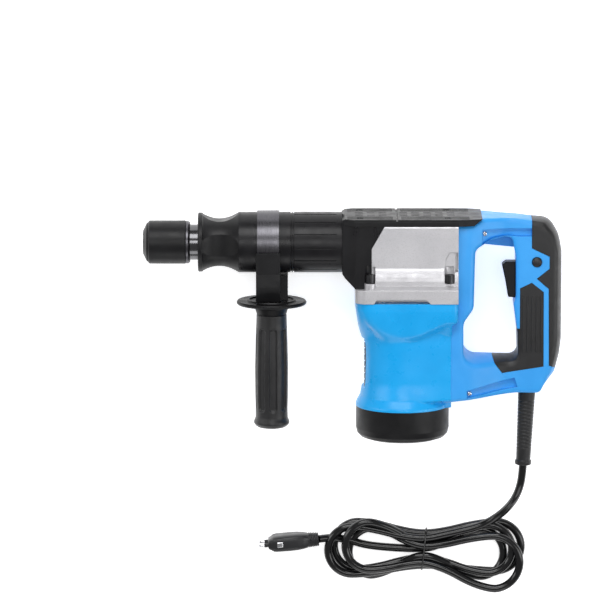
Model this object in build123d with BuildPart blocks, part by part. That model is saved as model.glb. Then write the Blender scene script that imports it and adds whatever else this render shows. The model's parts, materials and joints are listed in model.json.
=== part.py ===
# A demolition hammer lying on its side: barrel along X with the tool tip at -X, the top of
# the hammer towards +Y, and +Z up from the surface that it lies on. Millimetres.
import os
from math import cos, pi, radians, sin, tan

from build123d import *

os.makedirs("parts", exist_ok=True)

# Driving dimensions
barrel_y = 92.5  # barrel axis, across from the centre of the tool's box
mid_z = 53.0  # mid-plane of the tool above the surface
tip_x = -230.3  # front face of the nose
rear_x = 230.3  # back of the rear handle
hex_flats = 17.2  # tool socket, across flats
socket_depth = 62.0
barrel_r = 33.4
bore_r = 28.0
piston_r = 15.95
cylinder_r = 16.0
motor_x = 55.6  # motor axis
cap_r = 51.4
cap_top = -182.0  # heights below the barrel axis
cap_bottom = -218.0
gear_module = 1.2
pinion_teeth = 8
gear_teeth = 40
crank_throw = 13.0
rod_length = 60.0
running_gap = 0.05  # radial, between a moving piece and its bore
band_x = -92.7  # middle of the side handle's clamp band
band_width = 24.0
grip_x = -89.0  # axis of the side handle's grip
cord_d = 8.9
crank_x = motor_x - gear_module * (pinion_teeth + gear_teeth) / 2
pin_x = crank_x + crank_throw  # crank pin at the rear dead centre
wrist_x = pin_x - rod_length

# Shared planes and axes. The side plane has X along the barrel and Y up the tool.
side = Plane(origin=(0, barrel_y, mid_z))
barrel_axis = Axis((0, barrel_y, mid_z), (1, 0, 0))
motor_axis = Axis((motor_x, barrel_y, mid_z), (0, 1, 0))


def across(x):  # square to the barrel, facing the rear
    return Plane(origin=(x, barrel_y, mid_z), x_dir=(0, 1, 0), z_dir=(1, 0, 0))


def level(x, height, z=0.0):  # square to the motor axis, facing down the tool
    return Plane(origin=(x, barrel_y + height, mid_z + z), x_dir=(1, 0, 0), z_dir=(0, -1, 0))


def plan_view(height):  # seen along the motor axis, facing up the tool
    return Plane(origin=(0, barrel_y + height, mid_z), x_dir=(1, 0, 0), z_dir=(0, 1, 0))


def tube(plane, length, outer, inner=0.0):  # a ring or a disc, extruded
    with BuildSketch(plane) as ring:
        Circle(outer)
        if inner > 0:
            Circle(inner, mode=Mode.SUBTRACT)
    extrude(ring.sketch, amount=length)


def bore(plane, length, radius):  # a round hole
    with BuildSketch(plane) as hole:
        Circle(radius)
    extrude(hole.sketch, amount=length, mode=Mode.SUBTRACT)


def turned(axis, *corners):  # a solid of revolution from its half section
    with BuildSketch(side) as section:
        with BuildLine():
            Polyline(*corners, close=True)
        make_face()
    revolve(section.sketch, axis=axis)


def block(low, high, mode=Mode.ADD):  # a box between two corners, measured from the barrel axis
    size = [abs(high[i] - low[i]) for i in range(3)]
    middle = [(high[i] + low[i]) / 2 for i in range(3)]
    with Locations((middle[0], middle[1] + barrel_y, middle[2] + mid_z)):
        Box(*size, mode=mode)


def slab(corners, half, mode=Mode.ADD, round_r=0.0):  # a side view, extruded both ways
    with BuildSketch(side) as outline:
        with BuildLine():
            Polyline(*corners, close=True)
        make_face()
        if round_r > 0:
            fillet(outline.vertices(), round_r)
    extrude(outline.sketch, amount=half, both=True, mode=mode)


# ---------------------------------------------------------------- chuck and tool holder
# Nose ring: the conical front end
with BuildPart() as nose_ring:
    turned(
        barrel_axis,
        (tip_x, 10.6),
        (tip_x, 13.2),
        (tip_x + 1.2, 15.4),
        (tip_x + 3.6, 20.6),
        (tip_x + 4.8, 21.6),
        (tip_x + 5.4, 21.6),
        (tip_x + 5.4, 10.6),
    )
nose_ring.part.label = "nose_ring"
export_step(nose_ring.part, "parts/nose_ring.step")

# Tool holder: hexagonal socket at the front, impact bolt guide at the back
holder_front = tip_x + 5.4
neck_x = -192.0
flange_x = -169.8
holder_rear = -122.0
ball_x = -214.5
with BuildPart() as tool_holder:
    turned(
        barrel_axis,
        (holder_front, 0),
        (holder_front, 16.0),
        (neck_x, 16.0),
        (neck_x, 19.6),
        (flange_x, 19.6),
        (flange_x, 22.0),
        (holder_rear, 22.0),
        (holder_rear, 0),
    )
    with BuildSketch(across(holder_front)) as socket:
        RegularPolygon(hex_flats / 2, 6, major_radius=False)
    extrude(socket.sketch, amount=socket_depth, mode=Mode.SUBTRACT)
    bore(across(holder_front + socket_depth), 30, 12.0 + running_gap)
    bore(across(-146.0), 30, 15.0 + running_gap)
    bore(Plane(origin=(ball_x, barrel_y, mid_z - 20)), 40, 3.4)
tool_holder.part.label = "tool_holder"
export_step(tool_holder.part, "parts/tool_holder.step")

# Locking balls, one on each side of the shank, below the sleeve's collar
with BuildPart() as locking_balls:
    with Locations((ball_x, barrel_y, mid_z - 12.6), (ball_x, barrel_y, mid_z + 12.6)):
        Sphere(3.2)
locking_balls.part.label = "locking_balls"
export_step(locking_balls.part, "parts/locking_balls.step")

# Sleeve: slides back over the neck to free the tool
sleeve_front = holder_front + 0.2
sleeve_rear = -183.0
with BuildPart() as chuck_sleeve:
    turned(
        barrel_axis,
        (sleeve_front, 16.3),
        (sleeve_front, 22.4),
        (sleeve_front + 1.5, 23.9),
        (sleeve_rear - 1.0, 23.9),
        (sleeve_rear, 23.0),
        (sleeve_rear, 20.0),
        (-219.0, 20.0),
        (-219.0, 16.3),
    )
chuck_sleeve.part.label = "chuck_sleeve"
export_step(chuck_sleeve.part, "parts/chuck_sleeve.step")

# Sleeve ring: the steel rim at the back of the sleeve
with BuildPart() as sleeve_ring:
    turned(
        barrel_axis,
        (sleeve_rear, 20.0),
        (sleeve_rear, 23.6),
        (sleeve_rear + 2.4, 23.6),
        (-178.6, 22.0),
        (-178.6, 20.0),
    )
sleeve_ring.part.label = "sleeve_ring"
export_step(sleeve_ring.part, "parts/sleeve_ring.step")

# Sleeve spring: compressed between the collar and the neck's shoulder
with BuildPart() as sleeve_spring:
    with BuildLine():
        start = (-209.5, barrel_y, mid_z)
        coil = Helix(pitch=3.2, height=15.5, radius=18.0, center=start, direction=(1, 0, 0))
    with BuildSketch(Plane(origin=coil @ 0, z_dir=coil % 0)):
        Circle(0.8)
    sweep()
sleeve_spring.part.label = "sleeve_spring"
export_step(sleeve_spring.part, "parts/sleeve_spring.step")

# Impact bolt: takes the striker's blow and hits the tool
bolt_front = holder_front + socket_depth + 7.0
with BuildPart() as impact_bolt:
    turned(
        barrel_axis,
        (bolt_front, 0),
        (bolt_front, 9.0),
        (bolt_front + 3, 12.0),
        (-139.0, 12.0),
        (-139.0, 15.0),
        (-123.0, 15.0),
        (-120.0, 11.5),
        (-116.5, 11.5),
        (-116.5, 0),
    )
impact_bolt.part.label = "impact_bolt"
export_step(impact_bolt.part, "parts/impact_bolt.step")

# Buffer ring: rubber damper between the tool holder and the cylinder
with BuildPart() as buffer_ring:
    tube(across(holder_rear), 4.0, 27.8, 15.4)
buffer_ring.part.label = "buffer_ring"
export_step(buffer_ring.part, "parts/buffer_ring.step")

# ---------------------------------------------------------------- barrel and striking parts
# Front cover: flange, waist and shoulder in front of the barrel
cover_rear = -124.9
waist_x = -146.0
hollow_r = 30.0
hollow_far = 54.6
with BuildPart() as front_cover:
    with BuildSketch(side) as profile:
        with BuildLine():
            Line((flange_x, 22.05), (flange_x, 31.6))
            Line((flange_x, 31.6), (flange_x + 1.0, 32.6))
            Line((flange_x + 1.0, 32.6), (-165.0, 32.6))
            Line((-165.0, 32.6), (-164.0, 31.2))
            Spline((-164.0, 31.2), (-148.0, 27.5), (cover_rear, 33.2))
            Line((cover_rear, 33.2), (cover_rear, 22.05))
            Line((cover_rear, 22.05), (flange_x, 22.05))
        make_face()
    revolve(axis=barrel_axis)
    # four hollow faces, with edges between them
    for way in (-1, 1):
        bore(Plane(origin=(waist_x, barrel_y + way * hollow_far, mid_z - 40)), 80, hollow_r)
        near = (waist_x, barrel_y - 40, mid_z + way * hollow_far)
        bore(Plane(origin=near, x_dir=(1, 0, 0), z_dir=(0, 1, 0)), 80, hollow_r)
front_cover.part.label = "front_cover"
export_step(front_cover.part, "parts/front_cover.step")

# Barrel: smooth at the front, two turned grooves, then a ribbed stretch
barrel_rear = -11.4
groove_start = -68.6
rib_start = -63.7
groove_count = 14
with BuildPart() as barrel:
    tube(across(cover_rear), barrel_rear - cover_rear, barrel_r, bore_r)
    for i in range(2):
        with BuildSketch(side) as groove:
            with Locations((groove_start + 1.2 + 2.6 * i, barrel_r)):
                Rectangle(1.4, 2.4)
        revolve(groove.sketch, axis=barrel_axis, mode=Mode.SUBTRACT)
    with BuildSketch(across(rib_start)) as flutes:
        with PolarLocations(barrel_r, groove_count, start_angle=15.7):
            Rectangle(1.8, 1.3)
    extrude(flutes.sketch, amount=barrel_rear - rib_start - 6.0, mode=Mode.SUBTRACT)
barrel.part.label = "barrel"
export_step(barrel.part, "parts/barrel.step")

# Cylinder: guides the piston and the striker
cylinder_front = -118.0
cylinder_rear = -8.0
with BuildPart() as cylinder:
    tube(across(cylinder_front), cylinder_rear - cylinder_front, 19.8, cylinder_r)
    tube(across(cylinder_front), 5, bore_r - running_gap, 19.8)
    tube(across(-22.0), 6, bore_r - running_gap, 19.8)
    with BuildSketch(Plane(origin=(-80, barrel_y, mid_z - 25))) as vents:
        with GridLocations(14, 0, 3, 1):
            Circle(1.5)
    extrude(vents.sketch, amount=50, mode=Mode.SUBTRACT)
cylinder.part.label = "cylinder"
export_step(cylinder.part, "parts/cylinder.step")

# Striker: a free piston driven by air
with BuildPart() as striker:
    turned(
        barrel_axis,
        (-114.0, 0),
        (-114.0, 11.0),
        (-104.0, 11.0),
        (-102.0, piston_r),
        (-84.0, piston_r),
        (-84.0, piston_r - 1.6),
        (-81.0, piston_r - 1.6),
        (-81.0, piston_r),
        (-72.0, piston_r),
        (-72.0, 0),
    )
striker.part.label = "striker"
export_step(striker.part, "parts/striker.step")

# Striker ring: its air seal
with BuildPart() as striker_ring:
    tube(across(-84.0), 3.0, piston_r, piston_r - 1.6)
striker_ring.part.label = "striker_ring"
export_step(striker_ring.part, "parts/striker_ring.step")

# Piston: forked at the back for the connecting rod
piston_front = wrist_x - 24.0
piston_rear = wrist_x + 13.0
ring_x = piston_front + 6.0
with BuildPart() as piston:
    turned(
        barrel_axis,
        (piston_front, 0),
        (piston_front, piston_r),
        (ring_x, piston_r),
        (ring_x, piston_r - 1.6),
        (ring_x + 3, piston_r - 1.6),
        (ring_x + 3, piston_r),
        (piston_rear, piston_r),
        (piston_rear, 0),
    )
    block((wrist_x - 10, -5.4, -20), (piston_rear + 1, 5.4, 20), mode=Mode.SUBTRACT)
    bore(level(wrist_x, 20), 40, 4.5)
piston.part.label = "piston"
export_step(piston.part, "parts/piston.step")

# Piston ring
with BuildPart() as piston_ring:
    tube(across(ring_x), 3.0, piston_r, piston_r - 1.6)
piston_ring.part.label = "piston_ring"
export_step(piston_ring.part, "parts/piston_ring.step")

# Wrist pin
with BuildPart() as wrist_pin:
    tube(level(wrist_x, 14.0), 28.0, 4.5, 2.0)
wrist_pin.part.label = "wrist_pin"
export_step(wrist_pin.part, "parts/wrist_pin.step")

# Connecting rod: the big end is open above the crank pin
with BuildPart() as connecting_rod:
    tube(level(pin_x, 5.0), 10.0, 11.0)
    tube(level(wrist_x, 5.0), 10.0, 8.5)
    block((wrist_x, -5, -5), (pin_x, 5, 5))
    bore(level(pin_x, 20), 40, 5.2)
    bore(level(wrist_x, 20), 40, 4.5 + running_gap)
connecting_rod.part.label = "connecting_rod"
export_step(connecting_rod.part, "parts/connecting_rod.step")

# ---------------------------------------------------------------- crank drive


def toothed(plane, height, teeth, turn):  # slim straight-sided teeth, free to roll together
    pitch_r = gear_module * teeth / 2
    root_r = pitch_r - 1.2 * gear_module
    tip_r = pitch_r + 0.8 * gear_module
    root_half = 0.28 * pi * gear_module
    tip_half = 0.13 * pi * gear_module
    with BuildSketch(plane) as wheel:
        Circle(root_r)
        for i in range(teeth):
            with BuildSketch(plane, mode=Mode.PRIVATE) as tooth:
                with BuildLine():
                    Polyline(
                        (root_r - 0.4, -root_half),
                        (tip_r, -tip_half),
                        (tip_r, tip_half),
                        (root_r - 0.4, root_half),
                        close=True,
                    )
                make_face()
            angle = turn + 360 * i / teeth
            add(tooth.sketch_local.rotate(Axis.Z, angle))
    extrude(wheel.sketch, amount=height)


# Armature shaft, with the pinion cut on its end
with BuildPart() as armature_shaft:
    turned(
        motor_axis,
        (motor_x, -205.0),
        (motor_x + 3.9, -205.0),
        (motor_x + 4.0, -192.0),
        (motor_x + 4.0, -183.0),
        (motor_x + 6.0, -183.0),
        (motor_x + 6.0, -60.0),
        (motor_x + 4.0, -60.0),
        (motor_x + 4.0, -46.0),
        (motor_x + 3.2, -46.0),
        (motor_x + 3.2, -25.0),
        (motor_x, -25.0),
    )
    toothed(level(motor_x, -25.0), 19.0, pinion_teeth, 0.0)
armature_shaft.part.label = "armature_shaft"
export_step(armature_shaft.part, "parts/armature_shaft.step")

# Armature core: slotted laminations
with BuildPart() as armature_core:
    tube(level(motor_x, -94.0), 54.0, 24.0, 6.0)
    with BuildSketch(level(motor_x, -94.0)) as slots:
        with PolarLocations(24.0, 12):
            Rectangle(3.0, 2.2)
    extrude(slots.sketch, amount=54, mode=Mode.SUBTRACT)
armature_core.part.label = "armature_core"
export_step(armature_core.part, "parts/armature_core.step")

# Armature windings: the copper ends above and below the core
with BuildPart() as armature_windings:
    for top in (-87.0, -148.0):
        tube(level(motor_x, top), 7.0, 20.0, 6.0)
armature_windings.part.label = "armature_windings"
export_step(armature_windings.part, "parts/armature_windings.step")

# Commutator
with BuildPart() as commutator:
    tube(level(motor_x, -160.0), 16.0, 13.0, 6.0)
    with BuildSketch(level(motor_x, -160.0)) as gaps:
        with PolarLocations(13.0, 24):
            Rectangle(1.6, 0.5)
    extrude(gaps.sketch, amount=16, mode=Mode.SUBTRACT)
commutator.part.label = "commutator"
export_step(commutator.part, "parts/commutator.step")

# Cooling fan
with BuildPart() as cooling_fan:
    tube(level(motor_x, -72.0), 2.0, 33.0, 6.0)
    tube(level(motor_x, -74.0), 9.0, 10.0, 6.0)
    with BuildSketch(level(motor_x, -74.0)) as blades:
        with PolarLocations(21.5, 15):
            Rectangle(22.0, 1.4, rotation=24)
    extrude(blades.sketch, amount=8)
cooling_fan.part.label = "cooling_fan"
export_step(cooling_fan.part, "parts/cooling_fan.step")

# Bearings: inner and outer races joined by the ball cage
bearing_seats = {
    "upper_bearing": (motor_x, -51.0, 7.0, 11.0, 4.0),
    "lower_bearing": (motor_x, -184.0, 7.0, 11.0, 4.0),
    "crank_bearing": (crank_x, -49.5, 9.0, 14.0, 7.0),
}
for bearing_name, (seat_x, seat_top, seat_h, race_r, shaft_r) in bearing_seats.items():
    with BuildPart() as bearing:
        middle_r = (race_r + shaft_r) / 2
        tube(level(seat_x, seat_top), seat_h, race_r, middle_r + 1.2)
        tube(level(seat_x, seat_top), seat_h, middle_r - 1.2, shaft_r + running_gap)
        tube(level(seat_x, seat_top - 0.8), seat_h - 1.6, middle_r + 1.2, middle_r - 1.2)
    bearing.part.label = bearing_name
    export_step(bearing.part, "parts/" + bearing_name + ".step")

# Crank gear: gear, counterweight disc and lower journal
half_tooth = 180.0 / gear_teeth
with BuildPart() as crank_gear:
    toothed(level(crank_x, -28.0), 12.0, gear_teeth, half_tooth)
    tube(level(crank_x, -20.0), 8.0, 20.0)
    tube(level(crank_x, -40.0), 18.5, 7.0)
    with BuildSketch(level(crank_x, -40.0)) as window:
        with PolarLocations(14.5, 3):
            Circle(3.6)
    extrude(window.sketch, amount=-4.0, mode=Mode.SUBTRACT)
crank_gear.part.label = "crank_gear"
export_step(crank_gear.part, "parts/crank_gear.step")

# Crank pin: stands on the disc, its end just below the connecting rod
with BuildPart() as crank_pin:
    tube(level(pin_x, -5.4), 14.6, 4.9)
crank_pin.part.label = "crank_pin"
export_step(crank_pin.part, "parts/crank_pin.step")

# ---------------------------------------------------------------- gear housing
housing_top = 24.0
split_x = 20.8
base_front = 2.8
base_rear = 115.7
base_top = -45.4
base_bottom = -60.5
chamber_floor = -48.0
cavity_half = 37.0
slot_front = base_rear - 3.0
bolt_front_x = 19.2
bolt_rear_x = 106.0
bolt_side = 46.0
bolt_seat = -38.2
bolt_head = 9.6
with BuildPart() as crank_housing:
    with BuildSketch(side) as outline:
        with BuildLine():
            Polyline(
                (barrel_rear, housing_top),
                (split_x + 14.0, housing_top),
                (split_x, -0.8),
                (split_x, base_top),
                (base_front, base_top),
                (barrel_rear + 3.2, -34.6),
                (barrel_rear, -30.0),
                close=True,
            )
        make_face()
    extrude(outline.sketch, amount=42.0, both=True)
    # the front corners are drawn in towards the barrel
    for way in (-1, 1):
        with BuildSketch(plan_view(-60)) as cut:
            with BuildLine():
                Polyline(
                    (barrel_rear - 1, way * 34.0),
                    (barrel_rear, way * 34.0),
                    (barrel_rear + 14.0, way * 42.0),
                    (barrel_rear + 14.0, way * 46.0),
                    (barrel_rear - 1, way * 46.0),
                    close=True,
                )
            make_face()
        extrude(cut.sketch, amount=120, mode=Mode.SUBTRACT)
    block((-0.5, chamber_floor, -cavity_half), (60, 19.0, cavity_half), mode=Mode.SUBTRACT)
    bore(across(barrel_rear - 1), 40, 19.85)
    bore(level(crank_x, -26.5), 15.0, 26.2)
    for way in (-1, 1):
        bore(level(bolt_front_x, -19.0, way * bolt_side), 30, 6.8)
crank_housing.part.label = "crank_housing"
export_step(crank_housing.part, "parts/crank_housing.step")

# Gear housing: bright casting with two steps down to its base flange
side_steps = [
    (housing_top, 43.6),
    (housing_top - 1.5, 44.6),
    (-22.3, 44.6),
    (-24.5, 45.8),
    (-27.5, 46.9),
    (-31.5, 47.6),
    (-36.0, 48.0),
    (-41.0, 48.1),
    (base_top, 53.0),
    (base_bottom, 53.0),
]
with BuildPart() as gear_housing:
    with BuildSketch(across(split_x)) as section:
        with BuildLine():
            Polyline(*side_steps, *[(h, -w) for h, w in reversed(side_steps)], close=True)
        make_face()
    extrude(section.sketch, amount=base_rear - split_x)
    slab(
        [
            (split_x - 1, 60),
            (split_x - 1, -0.8),
            (split_x, -0.8),
            (split_x + 14.0, housing_top),
            (split_x + 14.0, 60),
        ],
        60,
        mode=Mode.SUBTRACT,
    )
    block((base_front, base_bottom, -53), (split_x, base_top, 53))
    fillet(gear_housing.edges().filter_by(Axis.Y).group_by(Axis.X)[0], 12.0)
    block((split_x - 1, chamber_floor, -cavity_half), (110.0, 19.0, cavity_half), mode=Mode.SUBTRACT)
    block((4.0, chamber_floor, -cavity_half), (split_x + 1, base_top + 1, cavity_half), mode=Mode.SUBTRACT)
    bore(level(motor_x, -40), 30, 6.6)
    bore(level(motor_x, -51.0), 7.0, 11.0)
    bore(level(motor_x, -58.0), 10.0, 7.5)
    bore(level(crank_x, -40), 18.6, 14.0)
    # air outlet in the lower edge of each side
    for way in (-1, 1):
        with BuildSketch(side.offset(way * 46.0)) as outlet:
            with BuildLine():
                Polyline(
                    (22.5, base_bottom - 1),
                    (26.5, -55.8),
                    (80.5, -55.8),
                    (86.5, base_bottom - 1),
                    close=True,
                )
            make_face()
        extrude(outlet.sketch, amount=9.5, both=True, mode=Mode.SUBTRACT)
        # hollow beside the rear bolt, with a narrow slot at its back
        with BuildSketch(side.offset(way * 44.6)) as hollow:
            with BuildLine():
                Polyline(
                    (101.5, -28.0),
                    (101.5, -12.0),
                    (106.0, -4.5),
                    (slot_front, -4.5),
                    (slot_front, -28.0),
                    close=True,
                )
            make_face()
        extrude(hollow.sketch, amount=1.6, both=True, mode=Mode.SUBTRACT)
        slot_near = way * 43.0 - 3.0
        block((slot_front, -33.0, slot_near), (base_rear - 0.6, -4.5, slot_near + 6.0), mode=Mode.SUBTRACT)
        tube(level(bolt_front_x, bolt_seat, way * bolt_side), 8.0, 6.4)
    # seats for the four housing bolts
    for bolt_x in (bolt_front_x, bolt_rear_x):
        for way in (-1, 1):
            bore(level(bolt_x, bolt_seat, way * bolt_side), -18, 5.6)
gear_housing.part.label = "gear_housing"
export_step(gear_housing.part, "parts/gear_housing.step")

# Top cover: ribbed black plate over the gear housing, its rear end over the handle
cover_half = 44.0
cover_top = 31.2
cover_end = 142.0
with BuildPart() as top_cover:
    slab(
        [
            (barrel_rear, housing_top),
            (barrel_rear, cover_top - 2.0),
            (barrel_rear + 3.0, cover_top),
            (cover_end, cover_top),
            (cover_end - 9.0, housing_top),
        ],
        cover_half,
    )
    for way in (-1, 1):
        with BuildSketch(plan_view(20)) as cut:
            with BuildLine():
                Polyline(
                    (barrel_rear - 1, way * 34.0),
                    (barrel_rear, way * 34.0),
                    (barrel_rear + 14.0, way * cover_half),
                    (barrel_rear + 14.0, way * 50.0),
                    (barrel_rear - 1, way * 50.0),
                    close=True,
                )
            make_face()
        extrude(cut.sketch, amount=20, mode=Mode.SUBTRACT)
        with BuildSketch(plan_view(20)) as cut:
            with BuildLine():
                Polyline(
                    (base_rear, way * cover_half),
                    (base_rear, way * 50),
                    (150, way * 50),
                    (150, way * 34),
                    close=True,
                )
            make_face()
        extrude(cut.sketch, amount=20, mode=Mode.SUBTRACT)
    edges = top_cover.edges().filter_by(Axis.X).group_by(Axis.Y)[-1]
    chamfer(edges, 2.5)
    # ribs along both shoulders of the cover, parted by a groove across it
    for way in (-1, 1):
        for across_rib in (20.0, 25.5, 31.0, 36.5):
            low_z = way * across_rib - 1.1
            for start_x, end_x in ((-6.0, 44.0), (53.0, 128.0)):
                far_corner = (end_x, cover_top + 1, low_z + 2.2)
                block((start_x, cover_top - 1.2, low_z), far_corner, mode=Mode.SUBTRACT)
    block((47.5, cover_top - 1.5, -60), (49.5, cover_top + 1, 60), mode=Mode.SUBTRACT)
    # cooling slots down the middle
    with BuildSketch(level(0, cover_top)) as slots:
        with Locations((82.0, 0)):
            with GridLocations(13.0, 12.0, 5, 3):
                SlotOverall(9.0, 2.4)
        with Locations((20.0, 0)):
            with GridLocations(13.0, 12.0, 3, 3):
                SlotOverall(9.0, 2.4)
    extrude(slots.sketch, amount=2.4, mode=Mode.SUBTRACT)
    with BuildSketch(level(0, cover_top)) as seats:
        with GridLocations(96.0, 57.0, 2, 2):
            Circle(3.6)
    seats_at = seats.sketch.moved(Location((56.0, 0, 0)))
    extrude(seats_at, amount=3.0, mode=Mode.SUBTRACT)
top_cover.part.label = "top_cover"
export_step(top_cover.part, "parts/top_cover.step")

# Top cover screws
with BuildPart() as cover_screws:
    for screw_x in (8.0, 104.0):
        for screw_z in (-28.5, 28.5):
            tube(level(screw_x, cover_top - 3.0, screw_z), -2.0, 3.4)
            with BuildSketch(level(screw_x, cover_top - 1.0, screw_z)) as recess:
                Rectangle(4.4, 1.0)
                Rectangle(1.0, 4.4)
            extrude(recess.sketch, amount=1.2, mode=Mode.SUBTRACT)
cover_screws.part.label = "cover_screws"
export_step(cover_screws.part, "parts/cover_screws.step")

# Housing bolts: socket heads in the seats at the four corners of the gear housing
with BuildPart() as housing_bolts:
    for bolt_x in (bolt_front_x, bolt_rear_x):
        for bolt_z in (-bolt_side, bolt_side):
            tube(level(bolt_x, bolt_seat, bolt_z), -bolt_head, 5.2)
            with BuildSketch(level(bolt_x, bolt_seat + bolt_head, bolt_z)) as recess:
                RegularPolygon(3.0, 6)
            extrude(recess.sketch, amount=4.5, mode=Mode.SUBTRACT)
housing_bolts.part.label = "housing_bolts"
export_step(housing_bolts.part, "parts/housing_bolts.step")

# ---------------------------------------------------------------- motor
# Motor housing: square shoulder under the gear housing, a waist, then a flared rim
rear_face = 109.2
shoulder = [(-60.5, 104.0, 16.0), (-72.0, 104.0, 18.0), (-86.0, 97.0, 30.0), (-104.0, 88.0, 43.0)]
with BuildPart() as motor_housing:
    for upper, lower in zip(shoulder, shoulder[1:]):
        for height, width, corner in (upper, lower):
            with BuildSketch(level(motor_x + (width - 104.0) * 0.05, height)):
                RectangleRounded(width + 2.0, width, corner)
        loft(ruled=True)
    turned(
        motor_axis,
        (motor_x, -104.0),
        (motor_x + 43.4, -104.0),
        (motor_x + 42.8, -125.0),
        (motor_x + 43.6, -150.0),
        (motor_x + 46.4, -168.0),
        (motor_x + 50.6, -177.0),
        (motor_x + cap_r, -179.0),
        (motor_x + cap_r, cap_top),
        (motor_x, cap_top),
    )
    block((motor_x, -173.0, -34), (rear_face, -84.0, 34))
    block((motor_x, -84.0, -50), (base_rear + 0.5, base_bottom, 50))
    bore(level(motor_x, base_bottom + 1), 26.5, 37.0)
    bore(level(motor_x, -86.0), 100, 39.1)
    # spider that carries the lower bearing
    tube(level(motor_x, -184.0), 7.0, 14.0, 11.0)
    tube(level(motor_x, -181.0), 3.0, 14.0, 7.0)
    for way in (-1, 1):
        block((motor_x + way * 9.0, -182.0, -4), (motor_x + way * 41.0, -178.0, 4))
        block((motor_x - 4, -182.0, way * 9.0), (motor_x + 4, -178.0, way * 41.0))
    bore(level(motor_x, -177.0), 10.0, 7.0)
    # front air inlet
    block((0, -160.0, -15), (motor_x - 36.0, -106.0, 15), mode=Mode.SUBTRACT)
motor_housing.part.label = "motor_housing"
export_step(motor_housing.part, "parts/motor_housing.step")

# Front vent: louvred grille in the motor housing
with BuildPart() as front_vent:
    tube(level(motor_x, -106.05), 53.9, 42.4, 39.2)
    block((motor_x - 60, -170, -60), (motor_x - 36.05, -100, 60), mode=Mode.INTERSECT)
    block((motor_x - 60, -170, -14.95), (motor_x - 30, -100, 14.95), mode=Mode.INTERSECT)
    for i in range(7):
        block((motor_x - 60, -113.0 - 7.0 * i, -12), (motor_x - 30, -110.0 - 7.0 * i, 12), mode=Mode.SUBTRACT)
front_vent.part.label = "front_vent"
export_step(front_vent.part, "parts/front_vent.step")

# Motor cap: deep black cup over the lower end
with BuildPart() as motor_cap:
    turned(
        motor_axis,
        (motor_x, cap_bottom),
        (motor_x + 40.0, cap_bottom),
        (motor_x + 46.5, cap_bottom + 2.2),
        (motor_x + 50.0, cap_bottom + 6.0),
        (motor_x + cap_r, cap_bottom + 12.0),
        (motor_x + cap_r, cap_top),
        (motor_x + cap_r - 3.0, cap_top),
        (motor_x + cap_r - 3.0, cap_bottom + 12.0),
        (motor_x + 44.0, cap_bottom + 4.0),
        (motor_x, cap_bottom + 3.0),
    )
    with BuildSketch(level(motor_x, cap_bottom + 5)) as slots:
        for ring_r in (20.0, 31.0):
            with PolarLocations(ring_r, 12):
                Circle(2.6)
    extrude(slots.sketch, amount=8, mode=Mode.SUBTRACT)
motor_cap.part.label = "motor_cap"
export_step(motor_cap.part, "parts/motor_cap.step")

# Stator core
with BuildPart() as stator_core:
    tube(level(motor_x, -92.0), 58.0, 39.0, 24.7)
stator_core.part.label = "stator_core"
export_step(stator_core.part, "parts/stator_core.step")

# Field coils: one on each side of the armature, above and below the core
with BuildPart() as field_coils:
    for coil_top in (-85.5, -150.0):
        tube(level(motor_x, coil_top), 6.5, 35.0, 25.5)
field_coils.part.label = "field_coils"
export_step(field_coils.part, "parts/field_coils.step")

# Brush holders, carbon brushes and brush springs, one of each on both sides
brush_mid = -168.0
with BuildPart() as brush_holders:
    for way in (-1, 1):
        low, high = sorted((way * 17.0, way * 38.0))
        block((motor_x - 6, brush_mid - 7, low), (motor_x + 6, brush_mid + 7, high))
        channel_end = (motor_x + 3.5, brush_mid + 5, high + 1)
        block((motor_x - 3.5, brush_mid - 5, low - 1), channel_end, mode=Mode.SUBTRACT)
brush_holders.part.label = "brush_holders"
export_step(brush_holders.part, "parts/brush_holders.step")

with BuildPart() as carbon_brushes:
    for way in (-1, 1):
        low, high = sorted((way * 13.2, way * 29.0))
        block((motor_x - 3.4, brush_mid - 4.9, low), (motor_x + 3.4, brush_mid + 4.9, high))
carbon_brushes.part.label = "carbon_brushes"
export_step(carbon_brushes.part, "parts/carbon_brushes.step")

with BuildPart() as brush_springs:
    for way in (-1, 1):
        start = (motor_x, barrel_y + brush_mid, mid_z + way * 29.6)
        with BuildLine() as wire:
            Helix(pitch=1.9, height=6.8, radius=2.4, center=start, direction=(0, 0, way))
        with BuildSketch(Plane(origin=wire.line @ 0, z_dir=wire.line % 0)) as section:
            Circle(0.4)
        sweep(section.sketch, path=wire.line)
brush_springs.part.label = "brush_springs"
export_step(brush_springs.part, "parts/brush_springs.step")

# ---------------------------------------------------------------- rear handle
grip_half = 21.0
handle_wall = 3.0
grip_front = 197.6  # where the rubber back of the grip begins


def round_corners(outline, corners):
    for corner_x, height, radius in corners:
        nearest = outline.vertices().sort_by_distance((corner_x, height + barrel_y, mid_z))[0]
        fillet(nearest, radius)


def handle_side(shrink=0.0):  # the side view of the whole handle, rubber included
    with BuildSketch(side) as outline:
        with BuildLine():
            Polyline(
                (base_rear + 0.5, 31.0 - 7.2),
                (cover_end - 9.0, 31.0 - 7.2),
                (cover_end, 31.0),
                (rear_x - 32.0, 28.8),
                (rear_x - 14.0, 28.0),
                (rear_x - 3.5, 10.0),
                (rear_x, -8.0),
                (rear_x, -106.0),
                (rear_x - 2.0, -123.0),
                (rear_x - 7.0, -143.0),
                (rear_x - 19.0, -158.0),
                (rear_x - 27.0, -163.0),
                (181.0, -163.0),
                (rear_face, -173.0),
                (rear_face, -84.0),
                (base_rear + 0.5, -84.0),
                close=True,
            )
        make_face()
        round_corners(outline, ((rear_x - 14.0, 28.0, 9), (rear_x - 3.5, 10.0, 20), (rear_x, -106.0, 20)))
        if shrink > 0:
            offset(amount=-shrink)
    return outline.sketch


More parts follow.
